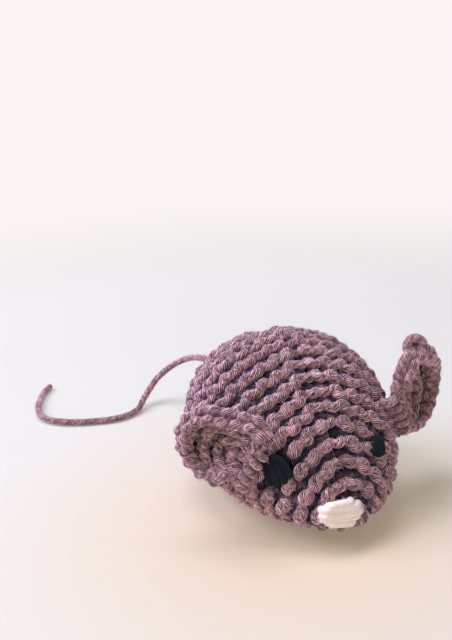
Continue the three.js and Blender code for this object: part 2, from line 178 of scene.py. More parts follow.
# The pouch, its crumbs and its tie
CRUMB_SHAPE = (1.0, 0.55, 0.22)
BAG_SIDES = 156
BAG_RINGS = 28
NECK_RINGS = 7
FOLD_POWER = 1.5
TIE_TURNS = 2
TIE_STEPS = 120

# Real fibres are about 0.02 mm thick, so loose ones are drawn four times as thick, to show
FIBRE_RADIUS = 0.04 * MM
# Angles by which a fibre bows, and rises from the yarn
FIBRE_BOW = 1.2
FIBRE_RISE = 0.8
SHORTEST_FIBRE = 0.4
SMALLEST_CRUMB = 0.5
# Distances over which stitches wander, and fuzz comes and goes
WANDER_LENGTH = 5 * MM
FUZZ_LENGTH = 0.7 * MM

# How finely slopes and meeting points are found, and the thinnest end of a strand
NUDGE = 1e-3
HALVINGS = 24
TINY = 1e-9
THINNEST = 0.05


def linear(hex_colour):
    """The linear colour of an sRGB hex value."""
    parts = [int(hex_colour[i:i + 2], 16) / 255 for i in (1, 3, 5)]
    return tuple(p / 12.92 if p <= 0.04045 else ((p + 0.055) / 1.055) ** 2.4 for p in parts) + (1.0,)


# Sizes and colours that a user would change


def length(name, description, default):
    return bpy.props.FloatProperty(
        name=name, description=description, default=default, unit="LENGTH", precision=5
    )


def share(name, description, default):
    return bpy.props.FloatProperty(name=name, description=description, default=default)


def count(name, description, default):
    return bpy.props.IntProperty(name=name, description=description, default=default, min=1)


def colour(name, description, hex_colour):
    return bpy.props.FloatVectorProperty(
        name=name, description=description, default=linear(hex_colour), size=4, subtype="COLOR", min=0, max=1
    )


class MouseCoverSizes(bpy.types.PropertyGroup):
    """The egg that the knitted cover follows"""

    front: length("Front", "From the widest ring to the nose tip", 41 * MM)
    rear: length("Rear", "From the widest ring to the rump", 32.2 * MM)
    half_width: length("Half Width", "Half the width of the widest ring", 30.2 * MM)
    top: length("Top", "Height of the back", 49.5 * MM)
    waist: length("Waist", "Height of the widest ring's middle", 24.2 * MM)
    nose_height: length("Nose Height", "Height of the nose tip", 8 * MM)
    droop: share("Droop", "How late the head drops towards the nose", 1.7)
    belly: share("Belly", "How square the belly is", 2.5)
    belly_depth: length("Belly Depth", "How far the belly is pressed flat", 0.5 * MM)
    wall: length("Wall", "Thickness of the knit", 4 * MM)


class MouseYarnSizes(bpy.types.PropertyGroup):
    """The yarn"""

    diameter: length("Diameter", "Thickness of the knitting yarn", 2.6 * MM)
    plies: count("Plies", "Strands plied into the yarn", 12)
    ply_relief: length("Ply Relief", "Depth of the grooves between plies", 0.25 * MM)
    twist_pitch: length("Twist Pitch", "Length of one full turn of the plies on a straight strand", 7.5 * MM)
    fuzz: length("Fuzz", "How far fibres roughen the yarn's face", 0.05 * MM)
    fibres: share("Fibres", "Loose fibres on a square metre of yarn", 2.2e5)
    fibre_length: length("Fibre Length", "Length of a loose fibre", 1.5 * MM)


class MouseKnitSizes(bpy.types.PropertyGroup):
    """The hand that knitted the cover in garter stitch"""

    ridge_pitch: length("Ridge Pitch", "Distance between garter ridges along the back", 5.5 * MM)
    first_ridge: length("First Ridge", "From the nose tip to the first ridge", 3.6 * MM)
    stitch_width: length("Stitch Width", "Distance between stitches in a row", 5 * MM)
    loop_height: length("Loop Height", "Half the height of a stitch", 2.1 * MM)
    loop_depth: length("Loop Depth", "How far a ridge stands out of the fabric", 1.45 * MM)
    inner_share: share("Inner Share", "How much of that depth ridges have on the inner side", 0.25)
    loop_lean: length("Loop Lean", "How far a loop's head overhangs its legs", 0.5 * MM)
    unevenness: length("Unevenness", "How far stitches wander from their places", 1.05 * MM)
    bloom: share("Bloom", "How much thicker yarn swells where it stands out of the fabric", 0.12)
    twist_pitch: length("Twist Pitch", "Length of one full turn of the plies in a loop", 5.2 * MM)
    stitch_steps: count("Stitch Steps", "Points along one stitch", 20)
    mitre: length("Mitre", "How far rows bend towards the rump at the middle of the back", 8 * MM)
    mitre_width: length("Mitre Width", "How far from the middle rows straighten again", 7 * MM)
    mitre_girth: length("Mitre Girth", "Height of the body from which rows bend in full", 30 * MM)
    groove: length("Groove", "Depth of the line of decreases along the middle of the back", 3 * MM)
    groove_width: length("Groove Width", "Half the width of that line", 1.4 * MM)


class MouseEarSizes(bpy.types.PropertyGroup):
    """Both ears: cupped knitted discs with a bound-off rim of two ropes, sewn on along a straight root"""

    cup: length("Cup", "Depth of the cup", 3.4 * MM)
    rim: length("Rim", "Radius of the bound-off rim", 2 * MM)
    root_cut: length("Root Cut", "How much of the disc is cut off at its root", 2.4 * MM)
    seam: length("Seam", "Length of the sewn root", 14 * MM)
    whip: length("Whip", "Radius of the loops that sew the root on", 1.5 * MM)
    whip_radius: length("Whip Radius", "Radius of the strand that sews the root on", 1.1 * MM)
    rows: count("Rows", "Knitted rows from root to rim", 7)
    stitch_width: length("Stitch Width", "Distance between stitches in a row", 4.6 * MM)
    loop_height: length("Loop Height", "Half the height of a stitch", 1.0 * MM)
    loop_depth: length("Loop Depth", "How far a ridge stands out of the ear", 1.3 * MM)
    chain_pitch: length("Chain Pitch", "Distance between stitches of the rim", 4.4 * MM)
    chain_sway: length("Chain Sway", "How far the rim's ropes wave", 0.4 * MM)
    curl: length("Curl", "Radius of a loop that stands up from the rim", 2.6 * MM)


class MouseSewingSizes(bpy.types.PropertyGroup):
    """Strands sewn through the cover, and the gap between neighbours"""

    radius: length("Strand Radius", "Radius of a sewing strand", 1.25 * MM)
    clearance: length("Clearance", "Gap that neighbouring pieces keep", 0.3 * MM)
    depth: length("Stitch Depth", "How deep a stitch dips at its ends", 1.5 * MM)
    sway: length("Sway", "How far a running stitch weaves to and fro", 0.35 * MM)
    unevenness: length("Unevenness", "How far stitches of the face differ", 0.3 * MM)
    eye_lift: length("Eye Lift", "Height of an eye stitch's middle over the cover", -1.2 * MM)
    eye_press: length("Eye Press", "How far tight eye stitches press the knit in", 2.4 * MM)
    nose_lift: length("Nose Lift", "Height of a nose stitch's middle over the cover", 0.3 * MM)


class MouseTailSizes(bpy.types.PropertyGroup):
    """The tail's strand, its knot and the yarn that gathers the rump round it"""

    radius: length("Radius", "Radius of the tail's strand", 1.1 * MM)
    knot_radius: length("Knot Radius", "Radius of the knot inside the rump", 3.2 * MM)
    ring_radius: length("Ring Radius", "Radius of the gathering ring", 4.2 * MM)
    ring_depth: length("Ring Depth", "How deep the ring lies in the rump", 0.8 * MM)


class MousePouchSizes(bpy.types.PropertyGroup):
    """The catnip pouch, its herb and the stuffing round it"""

    centre: bpy.props.FloatVectorProperty(
        name="Centre", description="Middle of the bag", default=(0.0, -3 * MM, 22 * MM), size=3, unit="LENGTH"
    )
    radius: length("Radius", "Radius of the bag", 10.5 * MM)
    half_height: length("Half Height", "Half the bag's height", 11.5 * MM)
    wall: length("Wall", "Room that the cloth takes", 0.8 * MM)
    cloth: length("Cloth", "Thickness of the muslin", 0.35 * MM)
    neck_radius: length("Neck Radius", "Radius of the tied neck", 3.4 * MM)
    neck_height: length("Neck Height", "Height of the tied neck", 3 * MM)
    collar_radius: length("Collar Radius", "Radius of the open collar", 4.6 * MM)
    collar_height: length("Collar Height", "Height of the collar", 2.5 * MM)
    gathers: count("Gathers", "Folds that the tie draws the cloth into", 13)
    gather_depth: length("Gather Depth", "Depth of the folds at the neck", 0.7 * MM)
    tie_radius: length("Tie Radius", "Radius of the room that the tie takes", 0.8 * MM)
    crumb: length("Crumb", "Length of a crumb of leaf", 1.7 * MM)
    crumbs: share("Crumbs", "Crumbs on a square metre of the herb's face", 1.5e6)
    lump: length("Lump", "Size of a lump of fibre fill", 7 * MM)
    lump_depth: length("Lump Depth", "Depth between lumps", 1.2 * MM)


class MouseColours(bpy.types.PropertyGroup):
    """Yarn and filling colours"""

    mauve: colour("Mauve", "Crests of the knitting yarn's plies", "#C6989E")
    # Painted shade: the dark tone given to the grooves between plies, to yarn between ridges, and to the
    # knit's inner side
    mauve_groove_shade: colour("Mauve Groove Shade", "Grooves between its plies", "#0E1128")
    mauve_fleck: colour("Mauve Fleck", "Paler fibres in it", "#ECC6BA")
    black: colour("Black", "Crests of the eye yarn", "#141F28")
    # Painted shade in the grooves of the eye yarn
    black_groove_shade: colour("Black Groove Shade", "Grooves of the eye yarn", "#060B10")
    cream: colour("Cream", "Crests of the nose yarn", "#FBF5EE")
    # Painted shade in the grooves of the nose yarn
    cream_groove_shade: colour("Cream Groove Shade", "Grooves of the nose yarn", "#E8DED2")
    fill: colour("Fibre Fill", "Polyester fibre", "#F4F2EC")
    muslin: colour("Muslin", "Unbleached cotton", "#E6DCC4")
    muslin_gap: colour("Muslin Gap", "Gaps in its weave", "#B9AA8A")
    herb: colour("Herb", "Dried leaf", "#747A4B")
    herb_stem: colour("Herb Stem", "Paler stems and undersides", "#A79E72")
    floor: colour("Floor", "Plain floor", "#DEDED4")
    # Painted warm light: the warm pool round the mouse, which also warms its shadow
    floor_warm_light: colour("Floor Warm Light", "The floor's warmer tone by the mouse", "#E2D0B6")
    backdrop: colour("Backdrop", "The floor's far end", "#FAF4F4")


# Shape of the cover


def unit(vectors):
    """Vectors made one long."""
    return vectors / np.linalg.norm(vectors, axis=-1, keepdims=True)


def cover_section(y, cover, inset=0.0):
    """Axis height, half width, rise and drop of the egg's section at y, inset under the cover's face."""
    front = y < 0
    reach = np.where(front, cover.front, cover.rear) - inset
    ahead = np.minimum(np.abs(y) / reach, 1.0)
    girth = np.sqrt(1.0 - ahead**2)
    axis = cover.waist + (cover.nose_height - cover.waist) * np.where(front, ahead**cover.droop, 0.0)
    half_width = (cover.half_width - inset) * girth
    rise = (cover.top - cover.waist - inset) * girth
    drop = (axis + cover.belly_depth - inset) * girth
    return axis, half_width, rise, drop


def cover_points(along, around, cover, inset=0.0):
    """Places on the cover by their angles from the nose tip and from the top of the back."""
    along, around = np.broadcast_arrays(along, around)
    reach = np.where(np.cos(along) > 0, cover.front, cover.rear) - inset
    y = -reach * np.cos(along)
    axis, half_width, rise, drop = cover_section(y, cover, inset)
    across = np.sin(around)
    up = np.cos(around)
    power = np.where(up > 0, 1.0, 2.0 / cover.belly)
    x = half_width * np.sign(across) * np.abs(across) ** power
    z = axis + np.where(up > 0, rise * up, -drop * np.abs(up) ** power)
    return np.stack([x, y, z], axis=-1)


def cover_normals(along, around, cover, inset=0.0):
    """The cover's outward directions at such places."""
    at = partial(cover_points, cover=cover, inset=inset)
    back = at(along + NUDGE, around) - at(along - NUDGE, around)
    left = at(along, around + NUDGE) - at(along, around - NUDGE)
    return unit(np.cross(left, back))


def turned(vector, axis, angle):
    """A vector turned about a unit axis."""
    return (
        vector * math.cos(angle)
        + np.cross(axis, vector) * math.sin(angle)
        + axis * np.dot(axis, vector) * (1 - math.cos(angle))
    )


def cover_seat(along, around, cover):
    """A place on the cover: its point, its outward normal, and the upright direction along the face."""
    point = cover_points(along, around, cover)
    normal = cover_normals(along, around, cover)
    return point, normal, unit(UP - normal * normal[2])


def drop_to_cover(points, normal, cover):
    """Where lines along the normal through points meet the cover's face, found by halving."""
    inside = np.full(len(points), -2 * cover.wall)
    outside = np.full(len(points), 2 * cover.wall)
    for _ in range(HALVINGS):
        middle = (inside + outside) / 2
        x, y, z = (points + normal * middle[:, None]).T
        axis, half_width, rise, drop = cover_section(y, cover)
        lift = z - axis
        power = np.where(lift > 0, 2.0, cover.belly)
        half = np.maximum(np.where(lift > 0, rise, drop), TINY)
        is_in = np.abs(x / np.maximum(half_width, TINY)) ** power + np.abs(lift / half) ** power < 1
        inside = np.where(is_in, middle, inside)
        outside = np.where(is_in, outside, middle)
    return points + normal * inside[:, None]


# Routes


def smooth_route(points, step):
    """A centripetal Catmull-Rom curve through points, as points about a step apart."""
    points = np.asarray(points, float)
    points = np.vstack([2 * points[0] - points[1], points, 2 * points[-1] - points[-2]])
    route = []
    for before, start, end, after in zip(points, points[1:], points[2:], points[3:]):
        gaps = [np.linalg.norm(b - a) ** 0.5 for a, b in ((before, start), (start, end), (end, after))]
        leave = (start - before) / gaps[0] - (end - before) / (gaps[0] + gaps[1]) + (end - start) / gaps[1]
        arrive = (end - start) / gaps[1] - (after - start) / (gaps[1] + gaps[2]) + (after - end) / gaps[2]
        steps = max(2, round(np.linalg.norm(end - start) / step))
        t = np.linspace(0, 1, steps, endpoint=False)[:, None]
        rise = 3 * t**2 - 2 * t**3
        swing = gaps[1] * ((t**3 - 2 * t**2 + t) * leave + (t**3 - t**2) * arrive)
        route.append(start + (end - start) * rise + swing)
    return np.vstack([*route, points[-2]])


def route_lengths(points):
    """How far each point lies along a route."""
    return np.concatenate([[0.0], np.cumsum(np.linalg.norm(np.diff(points, axis=0), axis=1))])


def round_end(distances, radius):
    """A strand's thickness at distances from its end, so that it ends in a dome of its own radius."""
    short = np.clip(1 - distances / radius, 0, 1)
    return np.maximum(np.sqrt(1 - short**2), THINNEST)


def round_ends(run, radius):
    """A strand's thickness along its run, so that both its ends are domes."""
    return round_end(np.minimum(run, run[-1] - run), radius)


# Node trees

# Kinds of nodes that are used often
MATH = "ShaderNodeMath"
VECTOR_MATH = "ShaderNodeVectorMath"
COMBINE = "ShaderNodeCombineXYZ"
NOISE = "ShaderNodeTexNoise"
RANGE = "ShaderNodeMapRange"
MAPPING = "ShaderNodeMapping"
MIX = "ShaderNodeMix"
BUMP = "ShaderNodeBump"
ATTRIBUTE = "ShaderNodeAttribute"
NAMED = "GeometryNodeInputNamedAttribute"
STORE = "GeometryNodeStoreNamedAttribute"
POSITION = "GeometryNodeInputPosition"
MOVE = "GeometryNodeSetPosition"
TRANSFORM = "GeometryNodeTransform"
SCATTER = "GeometryNodeDistributePointsOnFaces"
INSTANCES = "GeometryNodeInstanceOnPoints"
REALIZE = "GeometryNodeRealizeInstances"
JOIN = "GeometryNodeJoinGeometry"
CIRCLE = "GeometryNodeCurvePrimitiveCircle"
TUBE = "GeometryNodeCurveToMesh"
RANDOM = "FunctionNodeRandomValue"


def in_use(sockets, key=None):
    """The socket with this number, or the first with this name that the node's settings leave in use."""
    if isinstance(key, int):
        return sockets[key]
    return next(socket for socket in sockets if socket.enabled and key in (None, socket.name))


def set_inputs(node, inputs):
    """Links or fills a node's inputs. A node given as an input means its first output in use."""
    for key, value in inputs.items():
        socket = in_use(node.inputs, key)
        if isinstance(value, bpy.types.Node):
            value = in_use(value.outputs)
        if isinstance(value, bpy.types.NodeSocket):
            node.id_data.links.new(value, socket)
        else:
            socket.default_value = value


def add_node(tree, kind, inputs=None, **settings):
    """Adds a node, sets it, and links or fills its inputs."""
    node = tree.nodes.new(kind)
    for name, value in settings.items():
        setattr(node, name, value)
    set_inputs(node, inputs or {})
    return node


def new_tree(name, sizes, counts=()):
    """A geometry tree with named inputs: what adds its nodes, what it is given, and its output."""
    tree = bpy.data.node_groups.new(name, "GeometryNodeTree")
    inputs = [("Geometry", "Geometry"), *((label, "Float") for label in sizes)]
    inputs += [*((label, "Int") for label in counts), ("Material", "Material")]
    for label, kind in inputs:
        tree.interface.new_socket(label, in_out="INPUT", socket_type="NodeSocket" + kind)
    tree.interface.new_socket("Geometry", in_out="OUTPUT", socket_type="NodeSocketGeometry")
    add = partial(add_node, tree)
    return add, add("NodeGroupInput").outputs, add("NodeGroupOutput")


def end_tree(add, given, result, geometry):
    """Ends a tree in plain smooth faces of the given material."""
    smooth = add("GeometryNodeSetShadeSmooth", {"Geometry": geometry})
    plain = add(REALIZE, {"Geometry": smooth})
    dressed = add("GeometryNodeSetMaterial", {"Geometry": plain, "Material": given["Material"]})
    set_inputs(result, {"Geometry": dressed})
    return result.id_data


# What each point of a guide line carries: the stitch's phase, which face its head is on, how thick
# the yarn is, how much painted shade it takes where it is pressed in, and the ways along the row, on to the
# next and out of the fabric
STRAND_ATTRIBUTES = {
    "turn": "FLOAT",
    "face": "FLOAT",
    "thickness": "FLOAT",
    "sunk": "FLOAT",
    "beside": "FLOAT_VECTOR",
    "onward": "FLOAT_VECTOR",
    "outward": "FLOAT_VECTOR",
}
YARN_TREE = "Stitched plied yarn"
YARN_SIZES = (
    "Yarn Radius", "Ply Relief", "Twist Pitch", "Fuzz", "Loop Height", "Loop Depth", "Inner Share",
    "Loop Lean", "Unevenness", "Bloom", "Fibres", "Fibre Length",
)


def loose_fibres(add, given, base, density, rise):
    """Curled fibres that leave a face at an angle."""
    spots = add(SCATTER, {"Mesh": base, "Density": density, "Seed": SEED})
    sweep = add(MATH, {0: given["Fibre Length"], 1: FIBRE_BOW}, operation="DIVIDE")
    bow = add(
        "GeometryNodeCurveArc", {"Resolution": 5, "Radius": sweep, "Sweep Angle": FIBRE_BOW}, mode="RADIUS"
    )
    thread = add(CIRCLE, {"Resolution": 3, "Radius": FIBRE_RADIUS})
    fibre = add(TUBE, {"Curve": bow, "Profile Curve": thread, "Fill Caps": True})
    back = add(MATH, {0: sweep, 1: -1.0}, operation="MULTIPLY")
    fibre = add(TRANSFORM, {"Geometry": fibre, "Translation": add(COMBINE, {"X": back})})
    fibre = add(TRANSFORM, {"Geometry": fibre, "Rotation": (rise, 0.0, 0.0)})
    # Loose fibres are given a full crest and no painted shade
    for name in ("ply_crest", "raised"):
        fibre = add(STORE, {"Geometry": fibre, "Name": name, "Value": 1.0})
    spin = add(RANDOM, {"Min": 0.0, "Max": FULL_TURN, "Seed": SEED})
    lie = add(
        "FunctionNodeRotateRotation",
        {
            "Rotation": spots.outputs["Rotation"],
            "Rotate By": add("FunctionNodeAxisAngleToRotation", {"Angle": spin}),
        },
        rotation_space="LOCAL",
    )
    size = add(RANDOM, {"Min": SHORTEST_FIBRE, "Max": 1.0, "Seed": SEED + 1})
    fibres = add(INSTANCES, {"Points": spots, "Instance": fibre, "Rotation": lie, "Scale": size})
    both = add(JOIN, {"Geometry": add(REALIZE, {"Geometry": fibres})})
    set_inputs(both, {"Geometry": base})
    return both


def looped_strands(add, given):
    """Guide lines bent into stitches: heads and feet, the ridge's depth, and the hand's unevenness."""
    at = {name: add(NAMED, {"Name": name}, data_type=kind) for name, kind in STRAND_ATTRIBUTES.items()}
    double = add(MATH, {0: at["turn"], 1: 2.0}, operation="MULTIPLY")
    sway = add(MATH, {0: double}, operation="SINE")
    rise = add(MATH, {0: at["turn"]}, operation="COSINE")
    depth = add(MATH, {0: rise, 1: at["face"]}, operation="MULTIPLY")
    # Ridges on the inner side stand out less, where stuffing presses on them
    inner = add(MATH, {0: depth, 1: given["Inner Share"]}, operation="MULTIPLY")
    front = add(MATH, {0: depth, 1: inner}, operation="MAXIMUM")
    wander = add(NOISE, {"Vector": add(POSITION), "Scale": 1 / WANDER_LENGTH, "Detail": 1.0})
    centred = add(VECTOR_MATH, {0: wander.outputs["Color"], 1: (0.5, 0.5, 0.5)}, operation="SUBTRACT")
    twice = add(MATH, {0: given["Unevenness"], 1: 2.0}, operation="MULTIPLY")
    offset = add(VECTOR_MATH, {0: centred, "Scale": twice}, operation="SCALE")
    for wave, size, way in (
        (sway, "Loop Lean", "beside"),
        (rise, "Loop Height", "onward"),
        (front, "Loop Depth", "outward"),
    ):
        reach = add(MATH, {0: wave, 1: given[size]}, operation="MULTIPLY")
        term = add(VECTOR_MATH, {0: at[way], "Scale": reach}, operation="SCALE")
        offset = add(VECTOR_MATH, {0: offset, 1: term}, operation="ADD")
    # How far out of the fabric the yarn stands, which is all the way on a strand that isn't knitted, less its
    # painted shade. Where this is low the yarn is painted in shade, and where it is high it swells and sheds
    # fibres
    proud = add(MATH, {0: front}, operation="ABSOLUTE")
    knitted = add(MATH, {0: at["face"]}, operation="ABSOLUTE")
    sewn = add(MATH, {0: 1.0, 1: knitted}, operation="SUBTRACT")
    free = add(MATH, {0: proud, 1: sewn}, operation="MAXIMUM")
    above = add(MATH, {0: 1.0, 1: at["sunk"]}, operation="SUBTRACT")
    raised = add(MATH, {0: free, 1: above}, operation="MULTIPLY")
    strands = add("GeometryNodeMeshToCurve", {"Mesh": given["Geometry"]})
    strands = add(STORE, {"Geometry": strands, "Name": "raised", "Value": raised})
    return add(MOVE, {"Geometry": strands, "Offset": offset})


def plied_section(add, given):
    """The yarn's section: a ring of plies with grooves between them."""
    radius = given["Yarn Radius"]
    corners = add(MATH, {0: given["Plies"], 1: 2.0}, operation="MULTIPLY")
    ring = add(CIRCLE, {"Resolution": corners, "Radius": radius})
    groove = add(MATH, {0: add("GeometryNodeInputIndex"), 1: 2.0}, operation="FLOORED_MODULO")
    crest = add(MATH, {0: 1.0, 1: groove}, operation="SUBTRACT")
    depth = add(MATH, {0: given["Ply Relief"], 1: radius}, operation="DIVIDE")
    cut = add(MATH, {0: groove, 1: depth}, operation="MULTIPLY")
    reach = add(MATH, {0: 1.0, 1: cut}, operation="SUBTRACT")
    place = add(POSITION)
    scaled = add(VECTOR_MATH, {0: place, "Scale": reach}, operation="SCALE")
    section = add(MOVE, {"Geometry": ring, "Position": scaled})
    # The crest's share also sets how much painted shade falls in a ply's groove
    for name, value, kind in (("ply_crest", crest, "FLOAT"), ("ply_place", place, "FLOAT_VECTOR")):
        section = add(STORE, {"Geometry": section, "Name": name, "Value": value}, data_type=kind)
    return section


def stitched_yarn_tree():
    """Geometry tree that turns guide lines into stitched strands of plied yarn."""
    add, given, result = new_tree(YARN_TREE, YARN_SIZES, counts=["Plies"])
    strands = looped_strands(add, given)
    # Plies turn a whole number of plies along each strand, so that a closed row meets itself
    run = add("GeometryNodeSplineLength")
    turns = add(MATH, {0: run.outputs["Length"], 1: given["Twist Pitch"]}, operation="DIVIDE")
    plies = add(MATH, {0: turns, 1: given["Plies"]}, operation="MULTIPLY")
    whole = add(MATH, {0: plies}, operation="ROUND")
    even = add(MATH, {0: whole, 1: given["Plies"]}, operation="DIVIDE")
    spot = add("GeometryNodeSplineParameter")
    turn = add(MATH, {0: even, 1: spot.outputs["Factor"]}, operation="MULTIPLY")
    tilt = add(MATH, {0: turn, 1: -FULL_TURN}, operation="MULTIPLY")
    strands = add("GeometryNodeSetCurveNormal", {"Curve": strands}, mode="MINIMUM_TWIST")
    strands = add("GeometryNodeSetCurveTilt", {"Curve": strands, "Tilt": tilt})
    strands = add(STORE, {"Geometry": strands, "Name": "yarn_length", "Value": spot.outputs["Length"]})
    thickness = add(NAMED, {"Name": "thickness"})
    raised = add(NAMED, {"Name": "raised"})
    bloomed = add(MATH, {0: raised, 1: given["Bloom"], 2: 1.0}, operation="MULTIPLY_ADD")
    swollen = add(MATH, {0: thickness, 1: bloomed}, operation="MULTIPLY")
    section = plied_section(add, given)
    yarn = add(TUBE, {"Curve": strands, "Profile Curve": section, "Scale": swollen, "Fill Caps": True})
    # Fibres roughen the face. Most of a noise's values lie in the middle half of its range
    grain = add(NOISE, {"Scale": 1 / FUZZ_LENGTH, "Detail": 0.0})
    bump = add(MATH, {0: grain.outputs["Fac"], 1: 0.5}, operation="SUBTRACT")
    rough = add(MATH, {0: given["Fuzz"], 1: 4.0}, operation="MULTIPLY")
    height = add(MATH, {0: bump, 1: rough}, operation="MULTIPLY")
    normal = add("GeometryNodeInputNormal")
    lift = add(VECTOR_MATH, {0: normal, "Scale": height}, operation="SCALE")
    yarn = add(MOVE, {"Geometry": yarn, "Offset": lift})
    density = add(MATH, {0: add(NAMED, {"Name": "raised"}), 1: given["Fibres"]}, operation="MULTIPLY")
    yarn = loose_fibres(add, given, yarn, density, FIBRE_RISE)
    # What would sink under the floor is pressed flat on it
    place = add("ShaderNodeSeparateXYZ", {0: add(POSITION)}).outputs
    resting = add(MATH, {0: place["Z"], 1: 0.0}, operation="MAXIMUM")
    pressed = add(COMBINE, {"X": place["X"], "Y": place["Y"], "Z": resting})
    yarn = add(MOVE, {"Geometry": yarn, "Position": pressed})
    return end_tree(add, given, result, yarn)


def crumbled_leaf_tree():
    """Geometry tree that covers a core with crumbs of dried leaf."""
    add, given, result = new_tree("Crumbled leaf", ("Crumb", "Crumbs"))
    core = given["Geometry"]
    spots = add(SCATTER, {"Mesh": core, "Density": given["Crumbs"], "Seed": SEED})
    half = add(MATH, {0: given["Crumb"], 1: 0.5}, operation="MULTIPLY")
    ball = add("GeometryNodeMeshIcoSphere", {"Radius": half, "Subdivisions": 1})
    crumb = add(TRANSFORM, {"Geometry": ball, "Scale": CRUMB_SHAPE})
    turn = add(
        RANDOM, {"Min": (0.0,) * 3, "Max": (FULL_TURN,) * 3, "Seed": SEED}, data_type="FLOAT_VECTOR"
    )
    size = add(RANDOM, {"Min": SMALLEST_CRUMB, "Max": 1.0, "Seed": SEED + 1})
    crumbs = add(INSTANCES, {"Points": spots, "Instance": crumb, "Rotation": turn, "Scale": size})
    both = add(JOIN, {"Geometry": crumbs})
    set_inputs(both, {"Geometry": core})
    return end_tree(add, given, result, both)


def fibre_fill_tree():
    """Geometry tree that draws a wad in between its lumps and lays loose curled fibres on it."""
    add, given, result = new_tree("Fibre fill", ("Lump", "Lump Depth", "Fibres", "Fibre Length"))
    scale = add(MATH, {0: 1.0, 1: given["Lump"]}, operation="DIVIDE")
    lumps = add(NOISE, {"Scale": scale, "Detail": 3.0, "Roughness": 0.6})
    depth = add(MATH, {0: lumps.outputs["Fac"], 1: given["Lump Depth"]}, operation="MULTIPLY")
    inward = add(MATH, {0: depth, 1: -1.0}, operation="MULTIPLY")
    normal = add("GeometryNodeInputNormal")
    drawn = add(VECTOR_MATH, {0: normal, "Scale": inward}, operation="SCALE")
    wad = add(MOVE, {"Geometry": given["Geometry"], "Offset": drawn})
    return end_tree(add, given, result, loose_fibres(add, given, wad, given["Fibres"], 0.0))


# Meshes


def strand(points, **given):
    """A guide line: its points, whether it is closed, and what its points carry, nought where not given."""
    total = len(points)
    line = {"points": np.asarray(points, float), "closed": given.get("closed", False)}
    for label, kind in STRAND_ATTRIBUTES.items():
        value = given.get(label, 1.0 if label == "thickness" else 0.0)
        line[label] = np.broadcast_to(value, total if kind == "FLOAT" else (total, 3))
    return line


def guide_mesh(name, strands):
    """Guide lines as a mesh of edges, with what the stitches need stored on its points."""
    edges = []
    start = 0
    for line in strands:
        end = start + len(line["points"])
        edges += [(i, i + 1) for i in range(start, end - 1)]
        if line["closed"]:
            edges.append((end - 1, start))
        start = end
    mesh = bpy.data.meshes.new(name)
    mesh.from_pydata(np.concatenate([line["points"] for line in strands]).tolist(), edges, [])
    for label, kind in STRAND_ATTRIBUTES.items():
        values = np.concatenate([line[label] for line in strands]).astype(np.float32)
        layer = mesh.attributes.new(label, kind, "POINT")
        layer.data.foreach_set("value" if kind == "FLOAT" else "vector", values.ravel())
    return mesh


def shown(name, data):
    """An object at the origin, with its place in its data."""
    piece = bpy.data.objects.new(name, data)
    bpy.context.scene.collection.objects.link(piece)
    return piece


def as_plain(piece, name):
    """The plain mesh that an object's modifiers make, as a new piece in its place."""
    graph = bpy.context.evaluated_depsgraph_get()
    made = bpy.data.meshes.new_from_object(piece.evaluated_get(graph))
    bpy.data.objects.remove(piece)
    made.name = name
    if not made.polygons:
        raise RuntimeError(f"{name} has no faces")
    return shown(name, made)


def with_wall(sheet, name, thickness):
    """A sheet given a thickness, half to either side."""
    wall = sheet.modifiers.new("wall", "SOLIDIFY")
    wall.thickness = thickness
    wall.offset = 0
    return as_plain(sheet, name)


def through_tree(name, piece, tree, values):
    """A piece put through a geometry tree, whose inputs are set by their identifiers."""
    modifier = piece.modifiers.new(tree.name, "NODES")
    modifier.node_group = tree
    for item in tree.interface.items_tree:
        if item.item_type == "SOCKET" and item.in_out == "INPUT" and item.name in values:
            modifier[item.identifier] = values[item.name]
    return as_plain(piece, name)


def yarn_piece(name, slot, strands, radius, loops=None):
    """A piece of a slot's yarn along guide lines. Loop sizes are nought unless they are given."""
    yarn = bpy.context.scene.mouse_yarn
    thickness = radius / (yarn.diameter / 2)
    values = {
        "Yarn Radius": radius,
        "Ply Relief": yarn.ply_relief * thickness,
        "Twist Pitch": yarn.twist_pitch * thickness,
        "Inner Share": 1.0,
        "Material": plied_yarn(slot),
        **inputs_from(yarn, "Plies", "Fuzz", "Fibres", "Fibre Length"),
        **(loops or {}),
    }
    tree = bpy.data.node_groups.get(YARN_TREE) or stitched_yarn_tree()
    return through_tree(name, shown(name + "_guide", guide_mesh(name, strands)), tree, values)


def inputs_from(group, *labels):
    """A tree's inputs, from the properties of the same names."""
    return {label: getattr(group, label.lower().replace(" ", "_")) for label in labels}


def joined(name, *pieces):
    """Several pieces as one."""
    with bpy.context.temp_override(active_object=pieces[0], selected_editable_objects=list(pieces)):
        bpy.ops.object.join()
    pieces[0].name = name
    return pieces[0]


def surface(name, points, faces, material):
    """A smooth piece of one material."""
    mesh = bpy.data.meshes.new(name)
    mesh.from_pydata(np.asarray(points).tolist(), [], faces)
    mesh.shade_smooth()
    mesh.materials.append(material)
    return shown(name, mesh)


def loft(name, rings, first, last, material):
    """A smooth surface through rings, from a point at its start to one at its end, if there is one."""
    total = len(rings[0])
    points = np.vstack([first, *rings] if last is None else [first, *rings, last])
    faces = []
    for i in range(total):
        j = (i + 1) % total
        faces.append((0, 1 + i, 1 + j))
        for ring in range(len(rings) - 1):
            low = 1 + ring * total
            faces.append((low + i, low + total + i, low + total + j, low + j))
        if last is not None:
            tip = len(points) - 1
            faces.append((tip, tip - total + j, tip - total + i))
    return surface(name, points, faces, material)


# Materials

